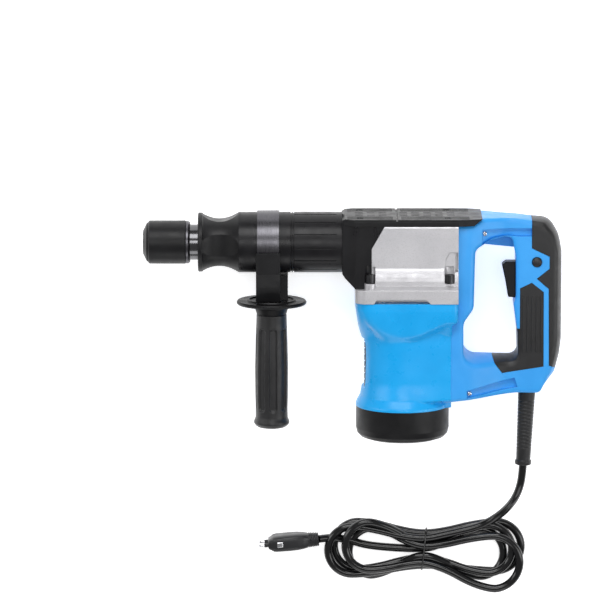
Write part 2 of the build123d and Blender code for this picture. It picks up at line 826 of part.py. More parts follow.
def handle_plan(half=grip_half, shrink=0.0):  # seen along the tool's height: wide at the front
    with BuildSketch(plan_view(-200)) as plan:
        with BuildLine():
            Polyline(
                (rear_face - 1, 37 - shrink),
                (132, 36 - shrink),
                (150, 31 - shrink),
                (172, half - shrink),
                (rear_x + 1, half - shrink),
                (rear_x + 1, -half + shrink),
                (172, -half + shrink),
                (150, -31 + shrink),
                (132, -36 + shrink),
                (rear_face - 1, -37 + shrink),
                close=True,
            )
        make_face()
    return plan.sketch


def hand_opening(grow=0.0):  # the finger opening of the D
    with BuildSketch(side) as opening:
        with BuildLine():
            Polyline(
                (134.5, -4.0),
                (150.0, 5.5),
                (164.0, 9.0),
                (177.0, 9.0),
                (180.0, -12.0),
                (176.5, -20.0),
                (176.5, -74.0),
                (181.0, -110.0),
                (178.0, -124.4),
                (121.7, -124.4),
                (121.7, -85.0),
                (133.0, -69.0),
                close=True,
            )
        make_face()
        round_corners(opening, ((134.5, -4.0, 7), (150.0, 5.5, 14), (121.7, -124.4, 10), (178.0, -124.4, 7)))
        if grow > 0:
            offset(amount=grow)
    return opening.sketch


trigger_slot = ((170.0, -64.0, -8.5), (190.0, -16.0, 8.5))
rubber_line = [
    (grip_front, 60),
    (grip_front, -10.0),
    (rear_x - 13.0, -18.0),
    (rear_x - 13.0, -32.0),
    (rear_x - 27.0, -43.0),
    (rear_x - 14.0, -54.0),
    (rear_x - 13.4, -137.0),
    (rear_x - 3.0, -142.0),
    (rear_x + 9.0, -142.0),
    (rear_x + 9.0, 60.0),
]
inlay_line = [
    (183.0, -52.0),
    (196.0, -46.0),
    (210.0, -56.0),
    (210.5, -138.0),
    (166.0, -144.0),
    (154.0, -124.0),
    (154.0, -118.0),
    (175.0, -105.0),
    (175.0, -95.0),
    (183.0, -95.0),
]
handle_screw_spots = [(144.0, 15.0), (128.0, -163.0), (205.0, 20.0), (203.0, -147.0)]
lock_spot = (202.6, -19.0)
boss_x = 193.0
guard_top = -165.5


def inlay_sketch(shrink):
    with BuildSketch(side) as outline:
        with BuildLine():
            Polyline(*inlay_line, close=True)
        make_face()
        if shrink > 0:
            offset(amount=-shrink)
    return outline.sketch


def rubber_back():
    with BuildSketch(side) as outline:
        with BuildLine():
            Polyline(*rubber_line, close=True)
        make_face()
    return outline.sketch


guard_lean = 0.0434  # sideways run of the cord guard for each millimetre down
guard_dir = Vector(-guard_lean, -1, 0).normalized()
guard_origin = Vector(boss_x + 0.2, barrel_y + guard_top, mid_z)
guard_plane = Plane(origin=guard_origin, x_dir=guard_dir, z_dir=(0, 0, 1))
guard_axis = Axis(guard_origin, guard_dir)
guard_length = 84.4

for half_name, way in (("handle_left", 1), ("handle_right", -1)):
    with BuildPart() as hollow:
        extrude(handle_side(handle_wall), amount=40 * way)
        extrude(handle_plan(grip_half, handle_wall), amount=300, mode=Mode.INTERSECT)
        extrude(hand_opening(handle_wall), amount=40, both=True, mode=Mode.SUBTRACT)
        # posts round the screws
        for spot_x, spot_y in handle_screw_spots:
            with BuildSketch(Plane(origin=(spot_x, barrel_y + spot_y, mid_z))) as post:
                Circle(5.0)
            extrude(post.sketch, amount=40 * way, mode=Mode.SUBTRACT)
    with BuildPart() as handle_half:
        extrude(handle_side(), amount=40 * way)
        extrude(handle_plan(), amount=300, mode=Mode.INTERSECT)
        extrude(hand_opening(), amount=40, both=True, mode=Mode.SUBTRACT)
        extrude(rubber_back(), amount=60, both=True, mode=Mode.SUBTRACT)
        add(hollow.part, mode=Mode.SUBTRACT)
        block(*trigger_slot, mode=Mode.SUBTRACT)
        # pocket for the inlay
        with BuildPart(mode=Mode.PRIVATE) as pocket:
            extrude(inlay_sketch(0.0), amount=40 * way)
            extrude(handle_plan(grip_half, 1.2), amount=300, mode=Mode.SUBTRACT)
        add(pocket.part, mode=Mode.SUBTRACT)
        bore(Plane(guard_plane.origin, x_dir=(0, 0, 1), z_dir=guard_dir).offset(-12), 30, 9.5)
        if way > 0:
            bore(Plane(origin=(lock_spot[0], barrel_y + lock_spot[1], mid_z)), 40, 5.6)
        for spot_x, spot_y in handle_screw_spots:
            with BuildSketch(Plane(origin=(spot_x, barrel_y + spot_y, mid_z))) as hole:
                Circle(1.6)
            extrude(hole.sketch, amount=50 * way, mode=Mode.SUBTRACT)
    handle_half.part.label = half_name
    export_step(handle_half.part, "parts/" + half_name + ".step")

# Rear grip: rubber skin over the back of the handle
with BuildPart() as rear_grip:
    extrude(handle_side(), amount=grip_half, both=True)
    extrude(rubber_back(), amount=60, both=True, mode=Mode.INTERSECT)
    extrude(handle_side(4.0), amount=grip_half - 4.0, both=True, mode=Mode.SUBTRACT)
    bore(Plane(guard_plane.origin, x_dir=(0, 0, 1), z_dir=guard_dir).offset(-12), 30, 9.5)
rear_grip.part.label = "rear_grip"
export_step(rear_grip.part, "parts/rear_grip.step")

# Grip inlays: rubber panels let into both sides of the grip
with BuildPart() as grip_inlays:
    extrude(inlay_sketch(0.15), amount=40, both=True)
    extrude(handle_plan(grip_half), amount=300, mode=Mode.INTERSECT)
    extrude(handle_plan(grip_half, 1.2), amount=300, mode=Mode.SUBTRACT)
grip_inlays.part.label = "grip_inlays"
export_step(grip_inlays.part, "parts/grip_inlays.step")

# Trigger
pivot_spot = (185.0, -57.0)
with BuildPart() as trigger:
    slab(
        [
            (164.5, -24.0),
            (169.0, -20.6),
            (189.0, -20.6),
            (191.0, -52.0),
            (189.0, -61.5),
            (171.5, -60.0),
            (168.5, -42.0),
        ],
        8.0,
        round_r=1.8,
    )
    outer = trigger.faces().filter_by(Axis.Z)
    chamfer(outer.edges(), 0.9)
    tube(Plane(origin=(pivot_spot[0], barrel_y + pivot_spot[1], mid_z - 10.5)), 21.0, 2.0)
trigger.part.label = "trigger"
export_step(trigger.part, "parts/trigger.step")

# Lock button: pressed in from the left side
with BuildPart() as lock_button:
    tube(Plane(origin=(lock_spot[0], barrel_y + lock_spot[1], mid_z + 15.0)), 8.4, 5.3)
    chamfer(lock_button.faces().sort_by(Axis.Z)[-1].edges(), 0.8)
lock_button.part.label = "lock_button"
export_step(lock_button.part, "parts/lock_button.step")

# Switch body, behind the trigger
with BuildPart() as switch_body:
    block((198.0, -72.0, -11.0), (216.0, -10.0, 11.0))
    chamfer(switch_body.edges().filter_by(Axis.Z), 1.5)
switch_body.part.label = "switch_body"
export_step(switch_body.part, "parts/switch_body.step")

# Handle screws: heads sunk in both sides of the handle
with BuildPart() as handle_screws:
    for spot_x, spot_y in handle_screw_spots:
        tube(Plane(origin=(spot_x, barrel_y + spot_y, mid_z - 12.0)), 24.0, 1.55)
handle_screws.part.label = "handle_screws"
export_step(handle_screws.part, "parts/handle_screws.step")

# Cord guard: ribbed rubber sleeve, with a collar inside the handle
with BuildPart() as cord_guard:
    with BuildSketch(guard_plane) as profile:
        with BuildLine():
            Polyline(
                (-12.0, 0),
                (-12.0, 11.0),
                (-7.2, 11.0),
                (-7.2, 9.4),
                (4.0, 9.4),
                (guard_length - 6.0, 7.9),
                (guard_length - 4.0, 9.2),
                (guard_length - 1.0, 9.2),
                (guard_length, 8.4),
                (guard_length, 0),
                close=True,
            )
        make_face()
    revolve(axis=guard_axis)
cord_guard.part.label = "cord_guard"
export_step(cord_guard.part, "parts/cord_guard.step")

# ---------------------------------------------------------------- mains cord
# The free length: out of the guard, down to the surface and into the hank
guard_end = guard_origin + guard_dir * guard_length
cord_route = [
    (guard_end.X, guard_end.Y, guard_end.Z),
    (188.6, -172.0, 53.0),
    (185.6, -186.5, 49.0),
    (181.0, -199.0, 41.3),
    (174.6, -210.8, 29.0),
    (165.8, -221.6, 19.0),
    (154.0, -231.0, 13.6),
    (139.0, -238.0, 12.8),
]


def cord_path(points):
    corners = [Vector(*point) for point in points]
    runs = [after - before for before, after in zip(corners, corners[1:])]
    radii = []
    for before, after in zip(runs, runs[1:]):
        half_turn = radians(before.get_angle(after)) / 2
        radii.append(0.45 * min(before.length, after.length) / tan(half_turn))
    return FilletPolyline(*corners, radius=radii), radii


with BuildPart() as cord_lead:
    with BuildLine() as route:
        path, lead_radii = cord_path(cord_route)
    with BuildSketch(Plane(origin=route.line @ 0, z_dir=route.line % 0)):
        Circle(cord_d / 2)
    sweep(path=route.line)
print("cord radii", [round(radius, 1) for radius in lead_radii])
section_area = pi * (cord_d / 2) ** 2
lead_length = sum(edge.length for edge in route.edges())
print("cord volume", round(cord_lead.part.volume), "expected", round(lead_length * section_area))
cord_lead.part.label = "cord_lead"
export_step(cord_lead.part, "parts/cord_lead.step")

# Hank: turns of cord tied at the waist, wider at both ends
hank_height = 18.0
tie_x = 81.0
tie_y = -264.5
tie_inside = 43.6
tie_outside = 46.8
with BuildPart() as cord_hank:
    with BuildSketch(Plane.XY) as outline:
        with BuildLine():
            Polyline(
                (-31.0, -258.0),
                (-14.0, -233.0),
                (22.0, -227.5),
                (80.0, -241.0),
                (143.0, -227.5),
                (180.0, -231.0),
                (195.5, -260.0),
                (182.0, -296.0),
                (143.0, -314.0),
                (114.0, -312.0),
                (80.0, -288.0),
                (20.0, -294.0),
                (-12.0, -289.0),
                close=True,
            )
        make_face()
        fillet(outline.vertices(), 12.0)
    extrude(amount=hank_height)
    with BuildSketch(Plane.XY) as groove:
        with Locations((tie_x, tie_y)):
            Rectangle(2.4, 80.0)
            Rectangle(2.4, tie_inside, mode=Mode.SUBTRACT)
    extrude(groove.sketch, amount=hank_height, mode=Mode.SUBTRACT)
cord_hank.part.label = "cord_hank"
export_step(cord_hank.part, "parts/cord_hank.step")

# Hank tie: a turn of plastic covered wire round the waist
with BuildPart() as hank_tie:
    with BuildSketch(Plane.XY) as band:
        with Locations((tie_x, tie_y)):
            Rectangle(2.2, tie_outside)
            Rectangle(2.2, tie_inside, mode=Mode.SUBTRACT)
    extrude(band.sketch, amount=hank_height)
    with BuildSketch(Plane.XY.offset(hank_height)) as bridge:
        with Locations((tie_x, tie_y)):
            Rectangle(2.2, tie_outside)
    extrude(bridge.sketch, amount=1.6)
hank_tie.part.label = "hank_tie"
export_step(hank_tie.part, "parts/hank_tie.step")

# Plug: contour body lying on its edge, with two round pins one above the other
plug_back = -36.7
plug_y = -250.5
plug_z = 15.0
plug_lean = 5.0
plug_dir = (-cos(radians(plug_lean)), -sin(radians(plug_lean)), 0)
plug_plane = Plane(origin=(plug_back, plug_y, plug_z), x_dir=(0, 0, 1), z_dir=plug_dir)
with BuildPart() as plug_body:
    stations = [
        (0.0, 15.0, 15.5),
        (2.0, 17.0, 17.5),
        (11.0, 18.0, 18.5),
        (12.0, 17.5, 20.0),
        (26.0, 19.0, 28.0),
        (50.0, 17.5, 29.5),
        (56.5, 9.0, 27.0),
    ]
    for (start, wide, tall), (end, next_wide, next_tall) in zip(stations, stations[1:]):
        for offset_along, width, height in ((start, wide, tall), (end, next_wide, next_tall)):
            with BuildSketch(plug_plane.offset(offset_along)):
                RectangleRounded(height, width, 0.42 * width)
        loft(ruled=True)
plug_body.part.label = "plug_body"
export_step(plug_body.part, "parts/plug_body.step")

with BuildPart() as plug_pins:
    for way in (-9.5, 9.5):
        with BuildSketch(plug_plane.offset(56.5)) as pin:
            with Locations((way, 0)):
                Circle(2.0)
        extrude(pin.sketch, amount=11.0)
plug_pins.part.label = "plug_pins"
export_step(plug_pins.part, "parts/plug_pins.step")

# Tail: the short length between the hank and the plug
with BuildPart() as cord_tail:
    with BuildLine() as tail_line:
        Line((plug_back, plug_y, plug_z), (-24.0, -249.5, 9.2))
    with BuildSketch(Plane(origin=tail_line.line @ 0, z_dir=tail_line.line % 0)):
        Circle(cord_d / 2)
    sweep(path=tail_line.line)
cord_tail.part.label = "cord_tail"
export_step(cord_tail.part, "parts/cord_tail.step")

# ---------------------------------------------------------------- side handle
band_r = barrel_r + 0.1
with BuildPart() as clamp_band:
    tube(across(band_x - band_width / 2), band_width, band_r + 1.6, band_r)
clamp_band.part.label = "clamp_band"
export_step(clamp_band.part, "parts/clamp_band.step")

# Bracket: saddle under the band, with a rib at the back
saddle_r = band_r + 1.65
bracket_half = 13.3
bracket_top = -7.0
bracket_bottom = -63.0
web_top = -(barrel_r + 1.2)
with BuildPart() as handle_bracket:
    with BuildSketch(across(band_x - bracket_half)) as front:
        with BuildLine():
            Polyline(
                (bracket_top, 36.9),
                (-30.0, 36.9),
                (-46.0, 30.0),
                (bracket_bottom, 24.0),
                (bracket_bottom, -24.0),
                (-46.0, -30.0),
                (-30.0, -36.9),
                (bracket_top, -36.9),
                close=True,
            )
        make_face()
    extrude(amount=2 * bracket_half)
    block((band_x + bracket_half, bracket_bottom, -14), (grip_x + 18.0, web_top, 14))
    bore(across(band_x - 20), 50, saddle_r)
    bore(level(grip_x, -30), 18.5, 8.4)
    bore(level(grip_x, -40), 30, 5.05)
handle_bracket.part.label = "handle_bracket"
export_step(handle_bracket.part, "parts/handle_bracket.step")

# Clamp bolt: hexagonal head in the bracket, shank down into the grip
with BuildPart() as clamp_bolt:
    with BuildSketch(level(grip_x, -42.5)) as head:
        RegularPolygon(8.2, 6)
    extrude(head.sketch, amount=6.0)
    tube(level(grip_x, -48.5), 62.0, 5.0)
clamp_bolt.part.label = "clamp_bolt"
export_step(clamp_bolt.part, "parts/clamp_bolt.step")

# Hand guard: the round flange above the grip
guard_disc_top = -65.0
with BuildPart() as hand_guard:
    grip_turn = Axis((grip_x, barrel_y, mid_z), (0, 1, 0))
    turned(
        grip_turn,
        (grip_x + 5.1, guard_disc_top),
        (grip_x + 23.6, guard_disc_top),
        (grip_x + 24.4, guard_disc_top + 1.4),
        (grip_x + 26.6, guard_disc_top + 1.4),
        (grip_x + 27.4, guard_disc_top),
        (grip_x + 37.4, guard_disc_top),
        (grip_x + 38.5, guard_disc_top - 1.4),
        (grip_x + 38.5, guard_disc_top - 2.6),
        (grip_x + 37.4, guard_disc_top - 4.0),
        (grip_x + 18.6, guard_disc_top - 5.0),
        (grip_x + 18.2, guard_disc_top - 9.0),
        (grip_x + 16.4, -80.0),
        (grip_x + 5.1, -80.0),
    )
hand_guard.part.label = "hand_guard"
export_step(hand_guard.part, "parts/hand_guard.step")

# Side grip: rubber sleeve with eight long flutes and a rounded end
grip_end = -208.0
with BuildPart() as side_grip:
    turned(
        grip_turn,
        (grip_x, -120.0),
        (grip_x + 5.1, -120.0),
        (grip_x + 5.1, -80.05),
        (grip_x + 17.0, -80.05),
        (grip_x + 18.4, -82.5),
        (grip_x + 18.4, -192.0),
        (grip_x + 19.7, -200.0),
        (grip_x + 18.6, -204.5),
        (grip_x + 15.0, -207.2),
        (grip_x + 10.0, grip_end),
        (grip_x, grip_end),
    )
    with BuildSketch(level(grip_x, -97.0)) as flutes:
        with PolarLocations(18.4 + 1.8, 8):
            Circle(3.8)
    extrude(flutes.sketch, amount=90.0, mode=Mode.SUBTRACT)
side_grip.part.label = "side_grip"
export_step(side_grip.part, "parts/side_grip.step")
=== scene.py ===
import json
import math

import bmesh
import bpy
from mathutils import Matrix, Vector


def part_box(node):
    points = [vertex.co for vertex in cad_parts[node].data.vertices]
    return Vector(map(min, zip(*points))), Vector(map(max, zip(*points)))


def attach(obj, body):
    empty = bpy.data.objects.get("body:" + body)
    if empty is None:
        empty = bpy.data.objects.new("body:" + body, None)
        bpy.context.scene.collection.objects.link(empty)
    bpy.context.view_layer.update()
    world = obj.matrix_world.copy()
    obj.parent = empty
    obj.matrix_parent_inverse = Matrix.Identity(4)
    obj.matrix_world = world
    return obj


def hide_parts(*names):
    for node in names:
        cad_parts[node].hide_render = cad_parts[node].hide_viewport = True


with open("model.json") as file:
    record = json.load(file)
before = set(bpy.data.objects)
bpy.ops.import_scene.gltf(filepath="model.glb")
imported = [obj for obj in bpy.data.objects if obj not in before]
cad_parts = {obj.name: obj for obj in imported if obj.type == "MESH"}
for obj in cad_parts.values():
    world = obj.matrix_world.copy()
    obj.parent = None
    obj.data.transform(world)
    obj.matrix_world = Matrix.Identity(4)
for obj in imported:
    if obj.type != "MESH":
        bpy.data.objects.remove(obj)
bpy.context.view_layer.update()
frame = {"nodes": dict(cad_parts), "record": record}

mm = 0.001


def middleOf(node):
    low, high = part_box(node)
    return (low + high) / 2


def smoothStep(share):
    share = max(0.0, min(1.0, share))
    return share * share * (3 - 2 * share)


def fadeIn(value, limit):
    start, length = limit
    return smoothStep((value - start) / length)


def fadeOut(value, limit):
    start, length = limit
    return smoothStep((start - value) / length)


# the three lines that the whole tool is built on
barrelY = middleOf("barrel").y
midZ = middleOf("barrel").z
motorX = middleOf("motor_cap").x


# camera: above the tool as it lies on its side, leaning a little towards its top
cameraSet = {
    "target": (middleOf("barrel").x + 0.0105, barrelY - 0.0648, midZ),
    "distance": 6.0,
    "lean": math.radians(10),
    "lens": 326.4,
}


def makeCamera():
    target = Vector(cameraSet["target"])
    back = Vector((0, math.sin(cameraSet["lean"]), math.cos(cameraSet["lean"])))
    camera = bpy.data.objects.new("camera", bpy.data.cameras.new("camera"))
    camera.data.lens = cameraSet["lens"]
    camera.location = target + back * cameraSet["distance"]
    camera.rotation_euler = (-cameraSet["lean"], 0, 0)
    bpy.context.scene.collection.objects.link(camera)
    bpy.context.scene.camera = camera


roomGlow = 0.28  # the white room all round
lightSet = {
    # name: place, aimed at, size, size across, watts
    "topSoftbox": ((-0.1, 1.5, 1.3), (0, 0.05, 0.05), 1.6, 0.9, 25),
    "faceSoftbox": ((0.15, 0.35, 2.2), (0, 0, 0.05), 1.3, 0.5, 11),
    "noseStrip": ((-1.5, 0.3, 1.0), (0, 0, 0.05), 0.5, 1.4, 8),
    "rearStrip": ((1.5, -0.2, 1.1), (0.1, 0, 0.05), 0.6, 1.4, 9),
    "footFill": ((0.0, -1.6, 0.9), (0, -0.1, 0.05), 1.6, 0.8, 8),
}


def makeLights():
    for name, (place, aim, size, across, watts) in lightSet.items():
        light = bpy.data.lights.new(name, "AREA")
        light.shape = "RECTANGLE"
        light.size = size
        light.size_y = across
        light.energy = watts
        holder = bpy.data.objects.new(name, light)
        holder.location = place
        holder.rotation_mode = "QUATERNION"
        holder.rotation_quaternion = (Vector(aim) - Vector(place)).to_track_quat("-Z", "Y")
        bpy.context.scene.collection.objects.link(holder)
    world = bpy.data.worlds.new("studio")
    world.use_nodes = True
    background = world.node_tree.nodes["Background"]
    background.inputs["Color"].default_value = (1, 1, 1, 1)
    background.inputs["Strength"].default_value = roomGlow
    bpy.context.scene.world = world
    bpy.context.scene.view_settings.view_transform = "Standard"


# materials
class Finish:
    # a Principled material whose colour, roughness and bump come from noise in object space
    def __init__(self, name, colour, rough, metal=0.0):
        self.material = bpy.data.materials.new(name)
        self.material.use_nodes = True
        self.nodes = self.material.node_tree.nodes
        self.links = self.material.node_tree.links
        self.shader = self.nodes["Principled BSDF"]
        self.shader.inputs["Metallic"].default_value = metal
        self.shader.inputs["Roughness"].default_value = rough
        self.shader.inputs["Base Color"].default_value = (*colour, 1)
        self.where = self.nodes.new("ShaderNodeTexCoord").outputs["Object"]
        self.colour = colour
        self.normal = None

    def noise(self, size, detail=3.0, stretch=None):
        # size is the width of one blotch in metres, stretch how much longer it is along each axis
        noise = self.nodes.new("ShaderNodeTexNoise")
        noise.inputs["Scale"].default_value = 1 / size
        noise.inputs["Detail"].default_value = detail
        place = self.where
        if stretch:
            scale = self.nodes.new("ShaderNodeMapping")
            scale.inputs["Scale"].default_value = tuple(1 / s for s in stretch)
            self.links.new(place, scale.inputs["Vector"])
            place = scale.outputs["Vector"]
        self.links.new(place, noise.inputs["Vector"])
        return noise.outputs["Fac"]

    def span(self, share, low, high, start=0.35, end=0.65):
        spread = self.nodes.new("ShaderNodeMapRange")
        spread.inputs["From Min"].default_value = start
        spread.inputs["From Max"].default_value = end
        spread.inputs["To Min"].default_value = low
        spread.inputs["To Max"].default_value = high
        self.links.new(share, spread.inputs["Value"])
        return spread.outputs["Result"]

    def tint(self, share, other, start=0.35, end=0.65):
        mix = self.nodes.new("ShaderNodeMix")
        mix.data_type = "RGBA"
        mix.inputs["B"].default_value = (*other, 1)
        before = self.shader.inputs["Base Color"]
        if before.is_linked:
            self.links.new(before.links[0].from_socket, mix.inputs["A"])
        else:
            mix.inputs["A"].default_value = (*self.colour, 1)
        self.links.new(self.span(share, 0.0, 1.0, start, end), mix.inputs["Factor"])
        self.links.new(mix.outputs["Result"], before)

    def roughen(self, share, low, high):
        self.links.new(self.span(share, low, high), self.shader.inputs["Roughness"])

    def soften(self, radius):
        # the small moulded radius of every edge
        bevel = self.nodes.new("ShaderNodeBevel")
        bevel.samples = 4
        bevel.inputs["Radius"].default_value = radius
        self.normal = bevel.outputs["Normal"]
        self.links.new(self.normal, self.shader.inputs["Normal"])

    def bump(self, share, depth, strength=1.0):
        # depth in metres
        bump = self.nodes.new("ShaderNodeBump")
        bump.inputs["Strength"].default_value = strength
        bump.inputs["Distance"].default_value = depth
        self.links.new(share, bump.inputs["Height"])
        if self.normal:
            self.links.new(self.normal, bump.inputs["Normal"])
        self.normal = bump.outputs["Normal"]
        self.links.new(self.normal, self.shader.inputs["Normal"])

    def set(self, **sockets):
        for name, value in sockets.items():
            self.shader.inputs[name.replace("_", " ")].default_value = value


plasticSet = {
    # slot: colour, second colour, roughness low and high, grain width, grain depth, shine
    "blue_plastic": ((0.004, 0.32, 0.72), (0.010, 0.35, 0.77), 0.26, 0.34, 0.0009, 0.00003, 0.35),
    "handle_blue": ((0.028, 0.29, 0.72), (0.036, 0.32, 0.77), 0.34, 0.44, 0.0009, 0.00004, 0.35),
    "black_plastic": ((0.0045, 0.0045, 0.005), (0.007, 0.007, 0.008), 0.34, 0.46, 0.0007, 0.00005, 0.22),
    "grey_plastic": ((0.045, 0.048, 0.052), (0.06, 0.063, 0.067), 0.32, 0.42, 0.0008, 0.00003, 0.5),
    "fan_plastic": ((0.08, 0.08, 0.08), (0.10, 0.10, 0.10), 0.45, 0.55, 0.001, 0.00003, 0.5),
    "tie_plastic": ((0.02, 0.02, 0.02), (0.03, 0.03, 0.03), 0.30, 0.40, 0.0009, 0.00002, 0.5),
    "plug_plastic": ((0.016, 0.016, 0.017), (0.022, 0.022, 0.024), 0.28, 0.38, 0.0008, 0.00003, 0.3),
    "carbon": ((0.03, 0.03, 0.032), (0.05, 0.05, 0.052), 0.5, 0.7, 0.0006, 0.00004, 0.5),
}


def mouldedPlastic(slot):
    colour, other, low, high, grain, depth, shine = plasticSet[slot]
    finish = Finish(slot, colour, low)
    finish.tint(finish.noise(0.035, 4), other)
    finish.roughen(finish.noise(0.012, 5), low, high)
    finish.soften(0.0008)
    finish.bump(finish.noise(0.02, 2), 0.0001, 0.35)  # slight sink marks
    finish.bump(finish.noise(grain, 2), depth, 0.8)  # spark-eroded grain
    finish.set(Specular_IOR_Level=shine)
    return finish.material


def softRubber():
    # matt moulded rubber of the grips and the cord guard
    finish = Finish("black_rubber", (0.0065, 0.0065, 0.0072), 0.36)
    finish.tint(finish.noise(0.02, 5), (0.010, 0.010, 0.011))
    finish.roughen(finish.noise(0.008, 4), 0.36, 0.48)
    finish.soften(0.0009)
    finish.bump(finish.noise(0.00055, 2), 0.00006, 0.9)
    finish.set(Specular_IOR_Level=0.42, Sheen_Weight=0.05, Sheen_Roughness=0.5)
    return finish.material


def silverCasting():
    # die-cast alloy under clear lacquer, finely grained
    finish = Finish("silver_casting", (0.46, 0.455, 0.475), 0.36, 0.6)
    finish.tint(finish.noise(0.03, 4), (0.51, 0.505, 0.525))
    finish.tint(finish.noise(0.0012, 3), (0.38, 0.38, 0.39), 0.5, 0.85)
    finish.roughen(finish.noise(0.009, 5), 0.32, 0.46)
    finish.soften(0.0011)
    finish.bump(finish.noise(0.0006, 3), 0.00008, 0.9)
    finish.set(Coat_Weight=0.15, Coat_Roughness=0.25)
    return finish.material


def blackCasting():
    # satin paint over an alloy casting, its sheen a little uneven round the barrel
    finish = Finish("black_casting", (0.0048, 0.0046, 0.0056), 0.34)
    finish.tint(finish.noise(0.03, 4), (0.0075, 0.0073, 0.0086))
    finish.roughen(finish.noise(0.01, 5, (1, 4, 4)), 0.27, 0.40)
    finish.soften(0.0008)
    finish.bump(finish.noise(0.0008, 3), 0.00005, 0.7)
    finish.set(Specular_IOR_Level=0.22)
    return finish.material


steelSet = {
    # slot: colour, second colour, roughness low and high, brush marks' length along x, y, z
    "tool_steel": ((0.13, 0.13, 0.135), (0.10, 0.10, 0.105), 0.13, 0.22, (1, 30, 30)),
    "satin_steel": ((0.085, 0.083, 0.092), (0.105, 0.103, 0.112), 0.26, 0.38, (1, 26, 26)),
    "bearing_steel": ((0.70, 0.70, 0.72), (0.62, 0.62, 0.65), 0.14, 0.24, (30, 1, 30)),
    "black_screws": ((0.035, 0.035, 0.038), (0.06, 0.06, 0.062), 0.26, 0.40, (1, 1, 1)),
    "lamination": ((0.26, 0.26, 0.28), (0.33, 0.33, 0.34), 0.35, 0.5, (30, 1, 30)),
    "plug_metal": ((0.78, 0.78, 0.80), (0.70, 0.70, 0.72), 0.10, 0.2, (1, 1, 1)),
    "copper": ((0.62, 0.25, 0.11), (0.70, 0.32, 0.16), 0.25, 0.4, (1, 20, 1)),
}


def drawnSteel(slot):
    colour, other, low, high, brushed = steelSet[slot]
    finish = Finish(slot, colour, low, 1.0)
    finish.tint(finish.noise(0.02, 4), other)
    marks = finish.noise(0.0004, 4, brushed)
    finish.tint(marks, tuple(c * 0.75 for c in colour), 0.5, 0.8)
    finish.roughen(marks, low, high)
    finish.soften(0.0005)
    finish.bump(marks, 0.00002, 0.6)
    return finish.material


def cordSheath():
    # glossy sheath of the mains cord
    finish = Finish("cord_rubber", (0.0045, 0.0045, 0.005), 0.14)
    finish.tint(finish.noise(0.03, 4), (0.007, 0.007, 0.0075))
    finish.tint(finish.noise(0.002, 5), (0.014, 0.014, 0.015), 0.62, 0.85)
    finish.roughen(finish.noise(0.01, 4), 0.10, 0.18)
    finish.bump(finish.noise(0.008, 2), 0.00004, 0.3)
    finish.bump(finish.noise(0.0007, 2), 0.00002, 0.6)
    finish.set(Specular_IOR_Level=0.45)
    return finish.material


def makeMaterials():
    made = {slot: mouldedPlastic(slot) for slot in plasticSet}
    made.update({slot: drawnSteel(slot) for slot in steelSet})
    made["silver_casting"] = silverCasting()
    made["black_casting"] = blackCasting()
    made["black_rubber"] = softRubber()
    made["cord_rubber"] = cordSheath()
    return made


materials = makeMaterials()
print("materials:", len(materials))


def dressNodes():
    # every CAD node takes the finish of its own slot
    for part in frame["record"]["subparts"]:
        node = frame["nodes"][part["node"]]
        node.data.materials.clear()
        node.data.materials.append(materials[part["material_slot"]])


dressNodes()


def finishPiece(name, mesh, slot, body, replaced=(), finish=None):
    # a visible piece of its own, in its slot's finish or another one, in place of some CAD nodes
    piece = bpy.data.objects.new(name, mesh)
    bpy.context.scene.collection.objects.link(piece)
    mesh.materials.append(materials[finish or slot])
    if replaced:
        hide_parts(*replaced)
    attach(piece, body)
    return piece


# shared shaping
def meshFrom(name, points, faces):
    mesh = bpy.data.meshes.new(name)
    mesh.from_pydata([tuple(p) for p in points], [], faces)
    shape = bmesh.new()
    shape.from_mesh(mesh)
    bmesh.ops.recalc_face_normals(shape, faces=shape.faces)
    shape.to_mesh(mesh)
    shape.free()
    return mesh


def smoothShade(mesh, sharpest=35):
    # smooth, with an edge kept wherever two faces meet at more than this many degrees
    shape = bmesh.new()
    shape.from_mesh(mesh)
    for face in shape.faces:
        face.smooth = True
    for edge in shape.edges:
        edge.smooth = len(edge.link_faces) != 2 or edge.calc_face_angle(0) < math.radians(sharpest)
    shape.to_mesh(mesh)
    shape.free()


def everything(shape):
    return shape.verts[:] + shape.edges[:] + shape.faces[:]


def turnsOf(count):
    return [2 * math.pi * step / count for step in range(count)]


def skinOver(name, rings):
    # a closed skin over rings of points, with a flat face over each end
    around = len(rings[0])
    faces = []
    for ring in range(len(rings) - 1):
        for step in range(around):
            a, b = ring * around + step, ring * around + (step + 1) % around
            faces.append((a, b, b + around, a + around))
    faces.append(tuple(range(around)))
    faces.append(tuple((len(rings) - 1) * around + step for step in range(around)))
    return meshFrom(name, [point for ring in rings for point in ring], faces)


def sideToWorld(x, height, across):
    # a point given in millimetres: along the tool, up from the barrel's axis, and out from the mid-plane
    return (x * mm, barrelY + height * mm, midZ + across * mm)


def between(profile, station):
    # the profile's value at a station, straight between its points
    for (start, low), (end, high) in zip(profile, profile[1:]):
        if station <= end:
            return low + (high - low) * max(0.0, station - start) / max(1e-6, end - start)
    return profile[-1][1]


